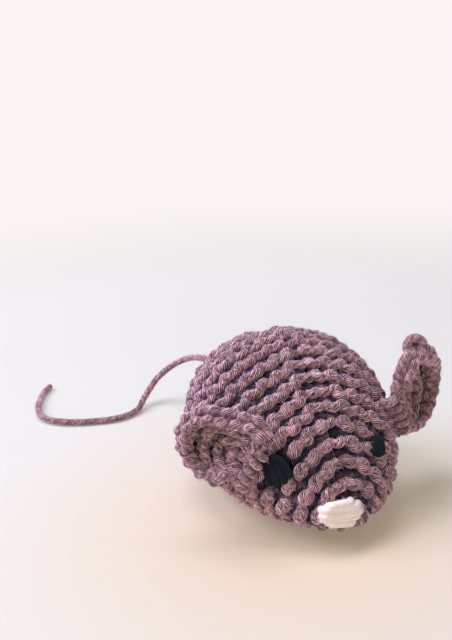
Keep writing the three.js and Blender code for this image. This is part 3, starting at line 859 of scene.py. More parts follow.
# Plied yarns by their slots: name, tones of crests, of the painted shade in grooves, and of flecks, how far
# plies differ, and sheen
YARNS = {
    "mauve_yarn": ("Mauve plied yarn", ("mauve", "mauve_groove_shade", "mauve_fleck"), 0.4, 0.8),
    "black_yarn": ("Black plied yarn", ("black", "black_groove_shade", "black"), 0.2, 0.04),
    "cream_yarn": ("Cream plied yarn", ("cream", "cream_groove_shade", "cream"), 0.04, 0.15),
}
SHEEN_TINT = "#D4CCF6"
FIBRE_WIDTH = 0.35 * MM
FIBRE_STRETCH = 0.18
FIBRE_RELIEF = 0.15 * MM
STRAY_GAP = 0.55 * MM
STRAY_SHARE = 1.6
PLY_WIDTH = 0.8 * MM
PLY_STRETCH = 10 * MM
DYE_PATCH = 14 * MM
THREAD_SPACING = 0.8 * MM

# Where tones change: in a noise's range, from a ply's painted groove shade to its crest, and from a valley's
# painted shade to a ridge
PALE_FIBRES = {"From Min": 0.42, "From Max": 0.7, "To Max": 0.9}
MOST_NOISE = {"From Min": 0.3, "From Max": 0.7}
MOTTLE = {"From Min": 0.35, "From Max": 0.65}
DYE_TONES = {"To Min": 0.9, "To Max": 1.25}
PLY_SHADE_EDGE = {"From Min": 0.28 + STRAY_SHARE / 2, "From Max": 0.85 + STRAY_SHARE / 2}
VALLEY_SHADE_EDGE = {"From Min": 0.05, "From Max": 0.5}


def new_material(name):
    """A material: itself, what adds its nodes, and its shader."""
    material = bpy.data.materials.new(name)
    material.use_nodes = True
    return material, partial(add_node, material.node_tree), material.node_tree.nodes["Principled BSDF"]


def plied_yarn(slot):
    """Spun and plied yarn: matt round plies, painted dark as shade in the grooves between them and where yarn
    dips between ridges, with a soft halo of fibres.
    """
    name, tones, variety, sheen = YARNS[slot]
    found = bpy.data.materials.get(name)
    if found:
        return found
    crest, groove, fleck = (getattr(bpy.context.scene.mouse_colours, tone) for tone in tones)
    material, add, shader = new_material(name)
    height = add(ATTRIBUTE, attribute_name="ply_crest")
    place = add(ATTRIBUTE, attribute_name="ply_place")
    run = add(ATTRIBUTE, attribute_name="yarn_length")
    # The yarn laid straight: across its section, and along its length in the third axis
    along = add(COMBINE, {"Z": run.outputs["Fac"]})
    straight = add(VECTOR_MATH, {0: place.outputs["Vector"], 1: along}, operation="ADD")
    # Fibres are far finer than a pixel, so their streaks are drawn 0.35 mm wide and 2 mm long
    stretch = add(MAPPING, {"Vector": straight, "Scale": (1.0, 1.0, FIBRE_STRETCH)})
    fibres = add(NOISE, {"Vector": stretch, "Scale": 1 / FIBRE_WIDTH, "Detail": 2.0, "Roughness": 0.6})
    pale = add(RANGE, {"Value": fibres, **PALE_FIBRES})
    lit = add(MIX, {"Factor": pale, "A": crest, "B": fleck}, data_type="RGBA")
    # Stray fibres lie across the plies and break the outlines of their painted groove shade every half
    # millimetre or so
    stray = add(NOISE, {"Vector": straight, "Scale": 1 / STRAY_GAP, "Detail": 1.0})
    broken = add(MATH, {0: stray, 1: STRAY_SHARE, 2: height.outputs["Fac"]}, operation="MULTIPLY_ADD")
    # Painted shade: towards its groove, a ply's colour goes over to the groove's dark tone
    painted_ply_light = add(RANGE, {"Value": broken, **PLY_SHADE_EDGE}, interpolation_type="SMOOTHSTEP")
    plied = add(MIX, {"Factor": painted_ply_light, "A": groove, "B": lit}, data_type="RGBA")
    # The dye takes unevenly, in patches a centimetre or two long on the strand
    patches = add(NOISE, {"Vector": straight, "Scale": 1 / DYE_PATCH, "Detail": 1.0})
    tone = add(RANGE, {"Value": patches, **MOST_NOISE, **DYE_TONES})
    # No two plies took the dye alike, so each keeps its own tone for about a centimetre
    strands = add(MAPPING, {"Vector": straight, "Scale": (1.0, 1.0, PLY_WIDTH / PLY_STRETCH)})
    plies = add(NOISE, {"Vector": strands, "Scale": 1 / PLY_WIDTH, "Detail": 0.0})
    own = add(RANGE, {"Value": plies, **MOST_NOISE, "To Min": 1 - variety, "To Max": 1 + variety})
    level = add(MATH, {0: tone, 1: own}, operation="MULTIPLY")
    tinted = add("ShaderNodeHueSaturation", {"Value": level, "Color": plied})
    # Painted shade: yarn that dips between ridges is packed close and in its neighbours' shade, so its colour
    # goes over to the groove's dark tone
    out = add(ATTRIBUTE, attribute_name="raised")
    shade = add(RANGE, {"Value": out.outputs["Fac"], **VALLEY_SHADE_EDGE}, interpolation_type="SMOOTHSTEP")
    set_inputs(shader, {
        "Base Color": add(MIX, {"Factor": shade, "A": groove, "B": tinted}, data_type="RGBA"),
        "Normal": add(BUMP, {"Strength": 0.6, "Distance": FIBRE_RELIEF, "Height": fibres}),
        "Roughness": 0.9,
        "Specular IOR Level": 0.25,
        "Sheen Weight": sheen,
        "Sheen Roughness": 0.35,
        "Sheen Tint": linear(SHEEN_TINT),
    })
    return material


def mottled_matt(name, dark, pale, grain, relief):
    """A matt fibrous stuff in two tones: no gloss, and a soft grain that breaks up its face."""
    found = bpy.data.materials.get(name)
    if found:
        return found
    material, add, shader = new_material(name)
    place = add("ShaderNodeTexCoord").outputs["Object"]
    mottle = add(NOISE, {"Vector": place, "Scale": 1 / grain, "Detail": 4.0, "Roughness": 0.65})
    spread = add(RANGE, {"Value": mottle, **MOTTLE})
    set_inputs(shader, {
        "Base Color": add(MIX, {"Factor": spread, "A": dark, "B": pale}, data_type="RGBA"),
        "Normal": add(BUMP, {"Strength": 0.5, "Distance": relief, "Height": mottle}),
        "Roughness": 1.0,
        "Specular IOR Level": 0.15,
    })
    return material


def shaded(hue, level):
    """A colour at a share of its brightness."""
    return [part * level for part in hue[:3]] + [1.0]


def knit_inside():
    """The knit's inner side, seen only as gaps between stitches: matt, and painted as dark as the grooves, as
    shade.
    """
    groove = bpy.context.scene.mouse_colours.mauve_groove_shade
    dark, pale = shaded(groove, 0.3), shaded(groove, 0.8)
    return mottled_matt("Shadowed yarn inside the knit", dark, pale, grain=2.6 * MM, relief=0.2 * MM)


def fibre_fill():
    """Polyester fibre fill: white, matt and cloudy, a little grey in random patches."""
    fill = bpy.context.scene.mouse_colours.fill
    return mottled_matt("Polyester fibre fill", shaded(fill, 0.78), fill, grain=1.5 * MM, relief=0.3 * MM)


def dried_herb():
    """Dried and rubbed catnip: dull grey-green crumbs with straw-coloured stems among them."""
    colours = bpy.context.scene.mouse_colours
    leaf = shaded(colours.herb, 0.55)
    return mottled_matt("Dried catnip leaf", leaf, colours.herb_stem, grain=1.2 * MM, relief=0.2 * MM)


def muslin():
    """Unbleached cotton muslin: an open plain weave, with threads drawn twice as coarse as real, to show."""
    colours = bpy.context.scene.mouse_colours
    material, add, shader = new_material("Unbleached muslin")
    # Bands of a wave texture lie pi / 10 / Scale apart
    wave = {
        "Vector": add("ShaderNodeUVMap", uv_map="cloth"),
        "Scale": math.pi / 10 / THREAD_SPACING,
        "Distortion": 0.6,
        "Detail Scale": 3.0,
    }
    warp, weft = (add("ShaderNodeTexWave", wave, bands_direction=way).outputs["Fac"] for way in ("X", "Y"))
    weave = add(MATH, {0: warp, 1: weft}, operation="MAXIMUM")
    set_inputs(shader, {
        "Base Color": add(
            MIX, {"Factor": weave, "A": colours.muslin_gap, "B": colours.muslin}, data_type="RGBA"
        ),
        "Normal": add(BUMP, {"Strength": 0.6, "Distance": 0.1 * MM, "Height": weave}),
        "Roughness": 0.95,
        "Specular IOR Level": 0.2,
        "Sheen Weight": 0.1,
    })
    return material


def seen_directly(add):
    """Whether a ray comes straight from the eye, or by way of gloss or glass."""
    ray = add("ShaderNodeLightPath")
    seen = ray.outputs["Is Camera Ray"]
    for kind in ("Is Glossy Ray", "Is Transmission Ray"):
        seen = add(MATH, {0: seen, 1: ray.outputs[kind]}, operation="MAXIMUM")
    return seen


def board():
    """Matt painted board: no gloss, with a warm pool of painted light in front of the mouse and a painted
    glow to the eye that softens shadows, fading to the pale backdrop beyond it.
    """
    colours = bpy.context.scene.mouse_colours
    material, add, shader = new_material("Matt painted board")
    place = add("ShaderNodeTexCoord").outputs["Object"]
    shares = []
    for centre, (start, end) in ((FLOOR_WARM_LIGHT, FLOOR_WARM_LIGHT_REACH), ((0.0, 0.0, 0.0), FLOOR_FADE)):
        away = add(VECTOR_MATH, {0: place, 1: centre}, operation="DISTANCE").outputs["Value"]
        reach = {"Value": away, "From Min": start, "From Max": end}
        shares.append(add(RANGE, reach, interpolation_type="SMOOTHSTEP"))
    cool, fade = shares
    # Painted warm light: the floor's tone goes warm round the mouse
    tone = add(MIX, {"Factor": cool, "A": colours.floor_warm_light, "B": colours.floor}, data_type="RGBA")
    set_inputs(shader, {"Base Color": tone, "Roughness": 0.9, "Specular IOR Level": 0.1})
    # Painted light: near the mouse a share of the floor glows to the eye in its own tone, which lightens the
    # shadow on it
    shine = add(MATH, {0: fade, 1: FLOOR_GLOW}, operation="MAXIMUM")
    beyond = add(MATH, {0: shine, 1: seen_directly(add)}, operation="MULTIPLY")
    far = add(MIX, {"Factor": fade, "A": tone, "B": colours.backdrop}, data_type="RGBA")
    glow = add("ShaderNodeEmission", {"Color": far, "Strength": 1.0})
    mixed = add("ShaderNodeMixShader", {0: beyond, 1: shader, 2: glow})
    set_inputs(material.node_tree.nodes["Material Output"], {"Surface": mixed})
    return material


# Pieces


def finished(piece, body, slot, *nodes):
    """Lets a piece ride on its body, in place of its nodes."""
    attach(piece, body)
    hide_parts(*nodes)
    return piece


def sewn(name, node, slot, strands, radius, body="mouse_body"):
    """A finished piece of a slot's yarn, in place of its node."""
    return finished(yarn_piece(name, slot, strands, radius), body, slot, node)


def near_eye(eye, points, cover, inset):
    """How much points lie under an eye's stitches, from 0 to 1."""
    away = np.linalg.norm(points - cover_points(eye["along"], eye["around"], cover, inset), axis=1)
    reach = max(eye["length"], eye["count"] * eye["pitch"]) / 2 + EYE_MARGIN
    return np.exp(-((away / reach) ** 4))


def cover_rows(scene, inset):
    """Guide lines of the cover's rows: hoops round the body, two to a ridge, even from nose to rump."""
    cover = scene.mouse_cover
    knit = scene.mouse_knit
    along = np.linspace(0, math.pi, MERIDIAN_STEPS)
    around = np.linspace(-math.pi, math.pi, MERIDIAN_STEPS)
    grid = cover_points(along[:, None], around[None, :], cover)
    gaps = np.linalg.norm(np.diff(grid, axis=0), axis=2)
    reached = np.vstack([np.zeros(len(around)), np.cumsum(gaps, axis=0)])
    top = len(around) // 2
    back = reached[:, top]
    crests = np.arange(knit.first_ridge, back[-1] - scene.mouse_tail.ring_radius, knit.ridge_pitch)
    places = np.sort(np.concatenate([crests - knit.ridge_pitch / 4, crests + knit.ridge_pitch / 4]))
    hand = np.random.default_rng(SEED)
    steps_off = np.repeat(hand.uniform(0, FULL_TURN, len(crests)), 2)
    rows = []
    for number, place in enumerate(places):
        part = place / back[-1]
        _, _, rise, drop = cover_section(np.interp(place, back, grid[:, top, 1]), cover)
        # Decreases along the middle of the back bend the rows, most of all over the head
        fade = min(1.0, (rise + drop) / knit.mitre_girth) * (1 - part)
        bend = knit.mitre * fade * np.exp(-np.abs(around) * (rise + drop) / 2 / knit.mitre_width)
        row_along = np.array([
            np.interp(part + bend[i] / reached[-1, i], reached[:, i] / reached[-1, i], along)
            for i in range(len(around))
        ])
        lengths = route_lengths(cover_points(row_along, around, cover, inset))
        stitches = 2 * max(2, round(lengths[top] / knit.stitch_width))
        spots = np.linspace(0, lengths[-1], stitches * knit.stitch_steps, endpoint=False)
        spot_along = np.interp(spots, lengths, row_along)
        spot_around = np.interp(spots, lengths, around)
        outward = cover_normals(spot_along, spot_around, cover, inset)
        points = cover_points(spot_along, spot_around, cover, inset)
        in_groove = math.sqrt(fade) * np.exp(-((points[:, 0] / knit.groove_width) ** 2))
        in_groove[np.cos(spot_around) <= 0] = 0.0
        under_eye = sum(near_eye(eye, points, cover, inset) for eye in (RIGHT_EYE, LEFT_EYE))
        dip = knit.groove * in_groove + scene.mouse_sewing.eye_press * under_eye
        points = points - outward * dip[:, None]
        beside = unit(np.roll(points, -1, axis=0) - np.roll(points, 1, axis=0))
        rows.append(strand(
            points,
            closed=True,
            turn=steps_off[number] + FULL_TURN * stitches * spots / lengths[-1],
            # Rows that crowd together under the head are knitted tighter
            thickness=np.interp(spots, lengths, reached[-1] / back[-1]) ** CROWDING,
            face=1.0 if number % 2 == 0 else -1.0,
            # Painted shade in the groove along the middle of the back and round the eyes, where the knit is
            # pressed in
            sunk=np.maximum(in_groove, under_eye),
            beside=beside,
            onward=unit(np.cross(outward, beside)),
            outward=outward,
        ))
    return rows


def cover_backing(cover, inset):
    """The inner side of the knit, which closes the gaps between stitches, painted dark as shade."""
    around = np.linspace(0, FULL_TURN, BACKING_SIDES, endpoint=False)
    first, *middle, last = np.linspace(0, math.pi, BACKING_RINGS)
    rings = [cover_points(along, -around, cover, inset) for along in middle]
    ends = [cover_points(along, 0.0, cover, inset) for along in (first, last)]
    return loft("knit_backing", rings, *ends, knit_inside())


class MOUSE_OT_knit_cover(bpy.types.Operator):
    """Knit the body's cover in garter stitch"""

    bl_idname = "catnip_mouse.knit_cover"
    bl_label = "Knit Cover"

    def execute(self, context):
        scene = context.scene
        knit = scene.mouse_knit
        radius = scene.mouse_yarn.diameter / 2
        inset = radius * (1 + knit.bloom) + knit.loop_depth
        loops = inputs_from(
            knit,
            *("Twist Pitch", "Loop Height", "Loop Depth", "Inner Share", "Loop Lean", "Unevenness", "Bloom"),
        )
        stitches = yarn_piece("knit_stitches", "mauve_yarn", cover_rows(scene, inset), radius, loops)
        piece = joined("mouse_cover", stitches, cover_backing(scene.mouse_cover, inset + radius / 2))
        finished(piece, "mouse_body", "mauve_yarn", "knit_cover")
        return {"FINISHED"}


class MOUSE_OT_seams(bpy.types.Operator):
    """Draw the rump together and sew up the belly"""

    bl_idname = "catnip_mouse.seams"
    bl_label = "Rump and Belly Seams"

    def execute(self, context):
        cover = context.scene.mouse_cover
        sewing = context.scene.mouse_sewing
        tail = context.scene.mouse_tail
        turn = np.linspace(0, FULL_TURN, RING_STEPS, endpoint=False)
        depth = tail.ring_depth - sewing.sway * np.sin(RING_WAVES * turn)
        ring = np.stack([
            tail.ring_radius * np.cos(turn),
            cover.rear - depth,
            cover.waist + tail.ring_radius * np.sin(turn),
        ], axis=-1)
        strands = [strand(ring, closed=True)]
        sewn("rump_gathering", "rump_gathering_yarn", "mauve_yarn", strands, sewing.radius)

        along = np.linspace(*BELLY_SEAM, BELLY_STEPS)
        line = cover_points(along, math.pi, cover, cover.wall + sewing.clearance + sewing.radius)
        line[:, 0] += sewing.sway * np.sin(np.linspace(0, FULL_TURN * BELLY_WAVES, BELLY_STEPS))
        strands = [strand(line, thickness=round_ends(route_lengths(line), sewing.radius))]
        sewn("belly_seam", "belly_seam_yarn", "mauve_yarn", strands, sewing.radius)
        return {"FINISHED"}


def ear_axes(ear, scene):
    """Where an ear is sewn on: the root line's middle, the cover's normal there, the root line, and the
    ways that the ear reaches, widens and faces."""
    sewing = scene.mouse_sewing
    side = ear["side"]
    point, normal, upright = cover_seat(ear["along"], side * ear["around"], scene.mouse_cover)
    middle = point + normal * (sewing.radius + sewing.clearance)
    hinge = turned(upright, normal, side * ear["turn"])
    backward = np.cross(hinge, normal) * side
    reach = normal * math.cos(ear["lean"]) + backward * math.sin(ear["lean"])
    return middle, normal, hinge, np.stack([reach, side * hinge, np.cross(hinge, reach) * -side])


def ear_surface(ear, scene):
    """The ear's cupped disc, as places by the part of the way from root to rim and the angle from its tip,
    and the angle at which its rim meets its root."""
    sizes = scene.mouse_ears
    sewing = scene.mouse_sewing
    middle, _, _, axes = ear_axes(ear, scene)
    long = ear["half_length"] - sizes.rim
    wide = ear["half_width"] - sizes.rim
    root = sizes.root_cut - ear["half_length"]
    centre = sewing.radius + sewing.clearance - root

    def place(part, angle):
        x = root + part * (long * np.cos(angle) - root)
        y = part * wide * np.sin(angle)
        out = (x / long) ** 2 + (y / wide) ** 2
        lip = ear["lip"] * part**4 * (1 + np.cos(angle - ear["lip_at"])) / 2
        height = sizes.cup * (out - 1) + lip + ear["twist"] * y / wide
        rolled = part**3 * np.exp(-(((angle - ear["roll_at"]) / ROLL_SPREAD) ** 2))
        flat = np.stack([centre + x, y, height], axis=-1) + rolled[..., None] * np.array(ear["roll"])
        return middle + flat @ axes

    return place, math.acos(root / ear["half_length"])


def ear_row(ear, scene, part, pitch, face=0.0, shift=0.0, start=0.0, swell=0.0, thickness=1.0):
    """One row of an ear, as a strand that bends round the root, shifted out of the ear's face."""
    place, opening = ear_surface(ear, scene)
    coarse = np.linspace(-opening, opening, EAR_STEPS)
    lengths = route_lengths(place(part, coarse))
    stitches = max(2, round(lengths[-1] / pitch))
    spots = np.linspace(0, lengths[-1], stitches * scene.mouse_knit.stitch_steps + 1)
    angles = np.interp(spots, lengths, coarse)
    beside = unit(place(part, angles + NUDGE) - place(part, angles - NUDGE))
    outward = unit(np.cross(place(part + NUDGE, angles) - place(part - NUDGE, angles), beside))
    turn = start + FULL_TURN * stitches * spots / lengths[-1]
    ends = round_ends(spots, scene.mouse_yarn.diameter / 2)
    return strand(
        place(part, angles) + outward * shift,
        turn=turn,
        thickness=thickness * ends * (1 + swell * np.cos(2 * turn)),
        face=face,
        beside=beside,
        onward=unit(np.cross(beside, outward)),
        outward=outward,
    )


def rim_ropes(ear, scene, radius):
    """The two ropes of an ear's bound-off rim, in front of and behind its edge, and the rim's curls."""
    ropes = [
        ear_row(
            ear, scene, 1.0, scene.mouse_ears.chain_pitch,
            shift=side * ear["rope"] * radius, start=start, swell=ear["swell"], thickness=ear["rope"],
        )
        for side, start in ((1, 0.0), (-1, math.pi / 2))
    ]
    for spot in ear["curls"]:
        ropes += rim_curl(ear, scene, spot)
    return ropes


def rim_curl(ear, scene, spot):
    """A loop of the rim's yarn, which stands up from the ear's edge, and a strand behind it painted in the
    loop's shade.
    """
    middle, _, _, axes = ear_axes(ear, scene)
    radius = scene.mouse_ears.curl
    run = np.linspace(-1, 1, CURL_STEPS)
    ends = round_ends((1 + run) * radius * CURL_TURN, scene.mouse_yarn.diameter / 2)
    behind = np.cross(CURL_UP, CURL_ASIDE)
    turn = run * CURL_TURN
    loop = np.outer(np.cos(turn), CURL_UP) + np.outer(np.sin(turn), CURL_ASIDE)
    loop += np.outer(run, behind) * CURL_SPREAD
    back = np.outer(run, CURL_UP) + behind * CURL_DEPTH
    # The strand behind the loop is painted in shade
    return [
        strand(middle + (np.array(spot) + radius * route) @ axes, thickness=ends, sunk=sunk)
        for route, sunk in ((loop, 0.0), (back, CURL_SHADE))
    ]


def ear_backing(name, ear, scene):
    """A thin shell that closes the gaps between the ear's stitches, painted dark as shade."""
    place, opening = ear_surface(ear, scene)
    rows, columns = EAR_BACKING_GRID
    parts = np.linspace(*EAR_BACKING_PARTS, rows)
    angles = np.linspace(-opening, opening, columns)
    points = place(parts[:, None], angles[None, :]).reshape(-1, 3)
    lows = [row * columns + column for row in range(rows - 1) for column in range(columns - 1)]
    faces = [(low, low + columns, low + columns + 1, low + 1) for low in lows]
    return with_wall(surface(name, points, faces, knit_inside()), name, EAR_BACKING_WALL)


def whipped_seam(ear, scene):
    """One strand wound over and over through an ear's root and the cover under it."""
    sizes = scene.mouse_ears
    middle, normal, hinge, _ = ear_axes(ear, scene)
    run = np.linspace(-0.5, 0.5, WHIPS * WHIP_STEPS + 1)
    seat = drop_to_cover(middle + np.outer(run * sizes.seam, hinge), normal, scene.mouse_cover)
    turn = FULL_TURN * WHIPS * run
    over = np.outer(1 + np.cos(turn), normal) - np.outer(np.sin(turn), np.cross(hinge, normal))
    return seat + sizes.whip * over


class MOUSE_OT_ears(bpy.types.Operator):
    """Knit both ears, bind off their rims and sew them on"""

    bl_idname = "catnip_mouse.ears"
    bl_label = "Ears"

    def execute(self, context):
        scene = context.scene
        sizes = scene.mouse_ears
        knit = scene.mouse_knit
        radius = scene.mouse_yarn.diameter / 2
        loops = {
            **inputs_from(knit, "Twist Pitch", "Unevenness"),
            **inputs_from(sizes, "Loop Height", "Loop Depth"),
            "Loop Lean": EAR_LEAN,
        }
        for ear, name in ((RIGHT_EAR, "right_ear"), (LEFT_EAR, "left_ear")):
            chain = {
                "Twist Pitch": knit.twist_pitch,
                "Loop Height": ear["sway"] * sizes.chain_sway,
                "Unevenness": ear["sway"] * knit.unevenness / 2,
            }
            rows = [
                ear_row(ear, scene, part, sizes.stitch_width, EAR_FACE if number % 2 == 0 else -EAR_FACE)
                for number, part in enumerate(np.linspace(*EAR_ROW_PARTS, sizes.rows))
            ]
            flap = yarn_piece(name + "_rows", "mauve_yarn", rows, radius, loops)
            rim = yarn_piece(name + "_rim", "mauve_yarn", rim_ropes(ear, scene, radius), radius, chain)
            piece = joined(name + "_knit", flap, rim, ear_backing(name + "_backing", ear, scene))
            finished(piece, name + "_flap", "mauve_yarn", name)

            seam = [strand(whipped_seam(ear, scene))]
            sewn(name + "_sewing", name + "_sewing_yarn", "mauve_yarn", seam, sizes.whip_radius)
        return {"FINISHED"}


def satin_strands(place, scene, lift):
    """Stitches side by side in an oval outline, not quite alike, each dipping into the cover at both ends."""
    cover = scene.mouse_cover
    sewing = scene.mouse_sewing
    hand = np.random.default_rng(SEED)
    point, normal, upright = cover_seat(place["along"], place["around"], cover)
    run = turned(upright, normal, place["turn"])
    beside = np.cross(normal, run)
    lifts = np.where(np.abs(STITCH_SHARES) == 1, -sewing.depth, lift)
    half = place["count"] * place["pitch"] / 2
    strands = []
    for number in range(place["count"]):
        offset = (number - (place["count"] - 1) / 2) * place["pitch"]
        reach = place["length"] / 2 * math.sqrt(1 - (offset / half) ** 2)
        slide, stray, rise = hand.uniform(-1, 1, 3) * sewing.unevenness
        ahead = STITCH_SHARES * reach + slide
        aside = offset * (1 - place["fan"] * STITCH_SHARES) + stray * STITCH_SHARES**2
        flat = point + np.outer(ahead, run) + np.outer(aside, beside)
        stops = drop_to_cover(flat, normal, cover) + np.outer(lifts + rise, normal)
        strands.append(strand(smooth_route(stops, STRAND_STEP)))
    return strands


class MOUSE_OT_face(bpy.types.Operator):
    """Sew the black eyes and the cream nose"""

    bl_idname = "catnip_mouse.face"
    bl_label = "Eyes and Nose"

    def execute(self, context):
        sewing = context.scene.mouse_sewing
        for name, place, slot, lift in (
            ("right_eye", RIGHT_EYE, "black_yarn", sewing.eye_lift),
            ("left_eye", LEFT_EYE, "black_yarn", sewing.eye_lift),
            ("nose", NOSE, "cream_yarn", sewing.nose_lift),
        ):
            strands = satin_strands(place, context.scene, lift)
            sewn(name + "_yarn", name + "_stitches", slot, strands, sewing.radius)
        return {"FINISHED"}


class MOUSE_OT_tail(bpy.types.Operator):
    """Lay the tail's strand from the rump to the floor, and knot its other end inside"""

    bl_idname = "catnip_mouse.tail"
    bl_label = "Tail"

    def execute(self, context):
        cover = context.scene.mouse_cover
        sewing = context.scene.mouse_sewing
        tail = context.scene.mouse_tail
        start = (0.0, cover.rear + sewing.clearance, cover.waist)
        pivot = (0.0, cover.rear + sewing.clearance + tail.radius, cover.waist)
        route = smooth_route([start, pivot, *TAIL_ROUTE], STRAND_STEP)
        run = route_lengths(route)
        strands = [strand(route, thickness=round_ends(run, tail.radius))]
        piece = sewn("tail_strand", "tail_cord", "mauve_yarn", strands, tail.radius, body="tail")

        knot = np.array([0.0, cover.rear - cover.wall - sewing.clearance - tail.knot_radius, cover.waist])
        shank = smooth_route([knot, (0.0, cover.rear, cover.waist)], STRAND_STEP)
        run = route_lengths(shank)
        turn = np.linspace(0, FULL_TURN, KNOT_STEPS, endpoint=False)
        trefoil = np.stack([
            np.sin(turn) + 2 * np.sin(2 * turn),
            -np.sin(3 * turn),
            np.cos(turn) - 2 * np.cos(2 * turn),
        ], axis=-1)
        bend = knot + trefoil / 3 * (tail.knot_radius - tail.radius)
        strands = [
            strand(shank, thickness=round_end(run[-1] - run, tail.radius)),
            strand(bend, closed=True),
        ]
        sewn("tail_knot", "tail_root_knot", "mauve_yarn", strands, tail.radius)
        return {"FINISHED"}


class MOUSE_OT_stuffing(bpy.types.Operator):
    """Pack two wads of fibre fill round the pouch"""

    bl_idname = "catnip_mouse.stuffing"
    bl_label = "Stuffing"

    def execute(self, context):
        pouch = context.scene.mouse_pouch
        tree = fibre_fill_tree()
        values = {
            **inputs_from(pouch, "Lump", "Lump Depth"),
            "Fibres": FILL_FIBRES,
            "Fibre Length": FILL_FIBRE_LENGTH,
            "Material": fibre_fill(),
        }
        for end in ("front", "rear"):
            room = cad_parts[end + "_stuffing"].data.copy()
            room.materials.clear()
            wad = shown(end + "_room", room)
            weld = wad.modifiers.new("weld", "WELD")
            weld.merge_threshold = WELD_GAP
            even = wad.modifiers.new("even", "REMESH")
            even.mode = "VOXEL"
            even.voxel_size = WAD_VOXEL
            piece = through_tree(end + "_wad", as_plain(wad, end + "_even"), tree, values)
            finished(piece, "mouse_body", "fibre_fill", end + "_stuffing")
        return {"FINISHED"}


def bag_profile(pouch, inset):
    """Radius and height of the bag's round, from its lowest point to its neck."""
    neck_turn = math.acos(pouch.neck_radius / pouch.radius)
    turn = np.linspace(-math.pi / 2, neck_turn, BAG_RINGS)[1:]
    return (pouch.radius - inset) * np.cos(turn), (pouch.half_height - inset) * np.sin(turn)


def bag_ways():
    """Angles round the bag, and the level ways that they point."""
    around = np.linspace(0, FULL_TURN, BAG_SIDES, endpoint=False)
    return around, np.stack([np.cos(around), np.sin(around)], axis=-1)


def bag_rings(radii, heights, pouch, folds=0.0):
    """Rings of a round bag, whose folds deepen where "folds" grows."""
    around, ways = bag_ways()
    swell = np.cos(pouch.gathers * around) - 1
    reach = np.asarray(radii)[:, None] + np.broadcast_to(folds, len(radii))[:, None] * swell / 2
    height = np.broadcast_to(np.asarray(heights)[:, None], reach.shape)
    return np.concatenate([reach[..., None] * ways, height[..., None]], axis=-1) + np.array(pouch.centre)


class MOUSE_OT_pouch(bpy.types.Operator):
    """Fill the muslin pouch with dried catnip and tie its neck"""

    bl_idname = "catnip_mouse.pouch"
    bl_label = "Catnip Pouch"

    def execute(self, context):
        pouch = context.scene.mouse_pouch
        sewing = context.scene.mouse_sewing
        centre = np.array(pouch.centre)

        # The cloth's middle runs half its thickness under the bag's face
        radii, heights = bag_profile(pouch, pouch.cloth / 2)
        rise = np.linspace(0, 1, NECK_RINGS)[1:]
        neck = np.full(len(rise), pouch.neck_radius - pouch.cloth / 2)
        collar = neck[-1] + (pouch.collar_radius - pouch.neck_radius) * rise
        radii = np.concatenate([radii, neck, collar])
        heights = np.concatenate([
            heights,
            heights[-1] + pouch.neck_height * rise,
            heights[-1] + pouch.neck_height + pouch.collar_height * rise,
        ])
        gathered = np.clip((heights + pouch.half_height / 3) / pouch.half_height, 0, 1)
        rings = bag_rings(radii, heights, pouch, pouch.gather_depth * gathered**FOLD_POWER)
        lowest = centre - UP * (pouch.half_height - pouch.cloth / 2)
        bag = loft("pouch_cloth", rings, lowest, None, muslin())
        run = route_lengths(np.vstack([[0.0, lowest[2] - centre[2]], np.stack([radii, heights], axis=-1)]))
        # The weave runs straight on the cloth as it was cut, not round the bag
        _, ways = bag_ways()
        spots = np.vstack([[0.0, 0.0], (run[1:, None, None] * ways).reshape(-1, 2)])
        layer = bag.data.uv_layers.new(name="cloth")
        corners = np.empty(len(bag.data.loops), dtype=np.int32)
        bag.data.loops.foreach_get("vertex_index", corners)
        layer.data.foreach_set("uv", spots[corners].ravel())
        piece = with_wall(bag, "pouch_bag", pouch.cloth)
        finished(piece, "mouse_body", "muslin", "catnip_pouch")

        radii, heights = bag_profile(pouch, pouch.wall + sewing.clearance + pouch.crumb / 3)
        rings = bag_rings(radii, heights, pouch)
        floor = centre + UP * (2 * heights[0] - heights[1])
        core = loft("herb_core", rings, floor, centre + UP * heights[-1], dried_herb())
        values = {**inputs_from(pouch, "Crumb", "Crumbs"), "Material": dried_herb()}
        piece = through_tree("catnip_leaf", core, crumbled_leaf_tree(), values)
        finished(piece, "mouse_body", "dried_herb", "dried_catnip")

        # The tie is a thread wound twice round the neck
        neck_base = pouch.half_height * math.sqrt(1 - (pouch.neck_radius / pouch.radius) ** 2)
        turn = np.linspace(0, FULL_TURN * TIE_TURNS, TIE_STEPS)
        thread = pouch.tie_radius / 2
        reach = pouch.neck_radius + sewing.clearance + thread
        height = neck_base + pouch.neck_height / 2 + np.linspace(-thread, thread, TIE_STEPS)
        wound = centre + np.stack([reach * np.cos(turn), reach * np.sin(turn), height], axis=-1)
        strands = [strand(wound, thickness=round_ends(route_lengths(wound), thread))]
        sewn("pouch_thread", "pouch_tie", "cream_yarn", strands, thread)
        return {"FINISHED"}


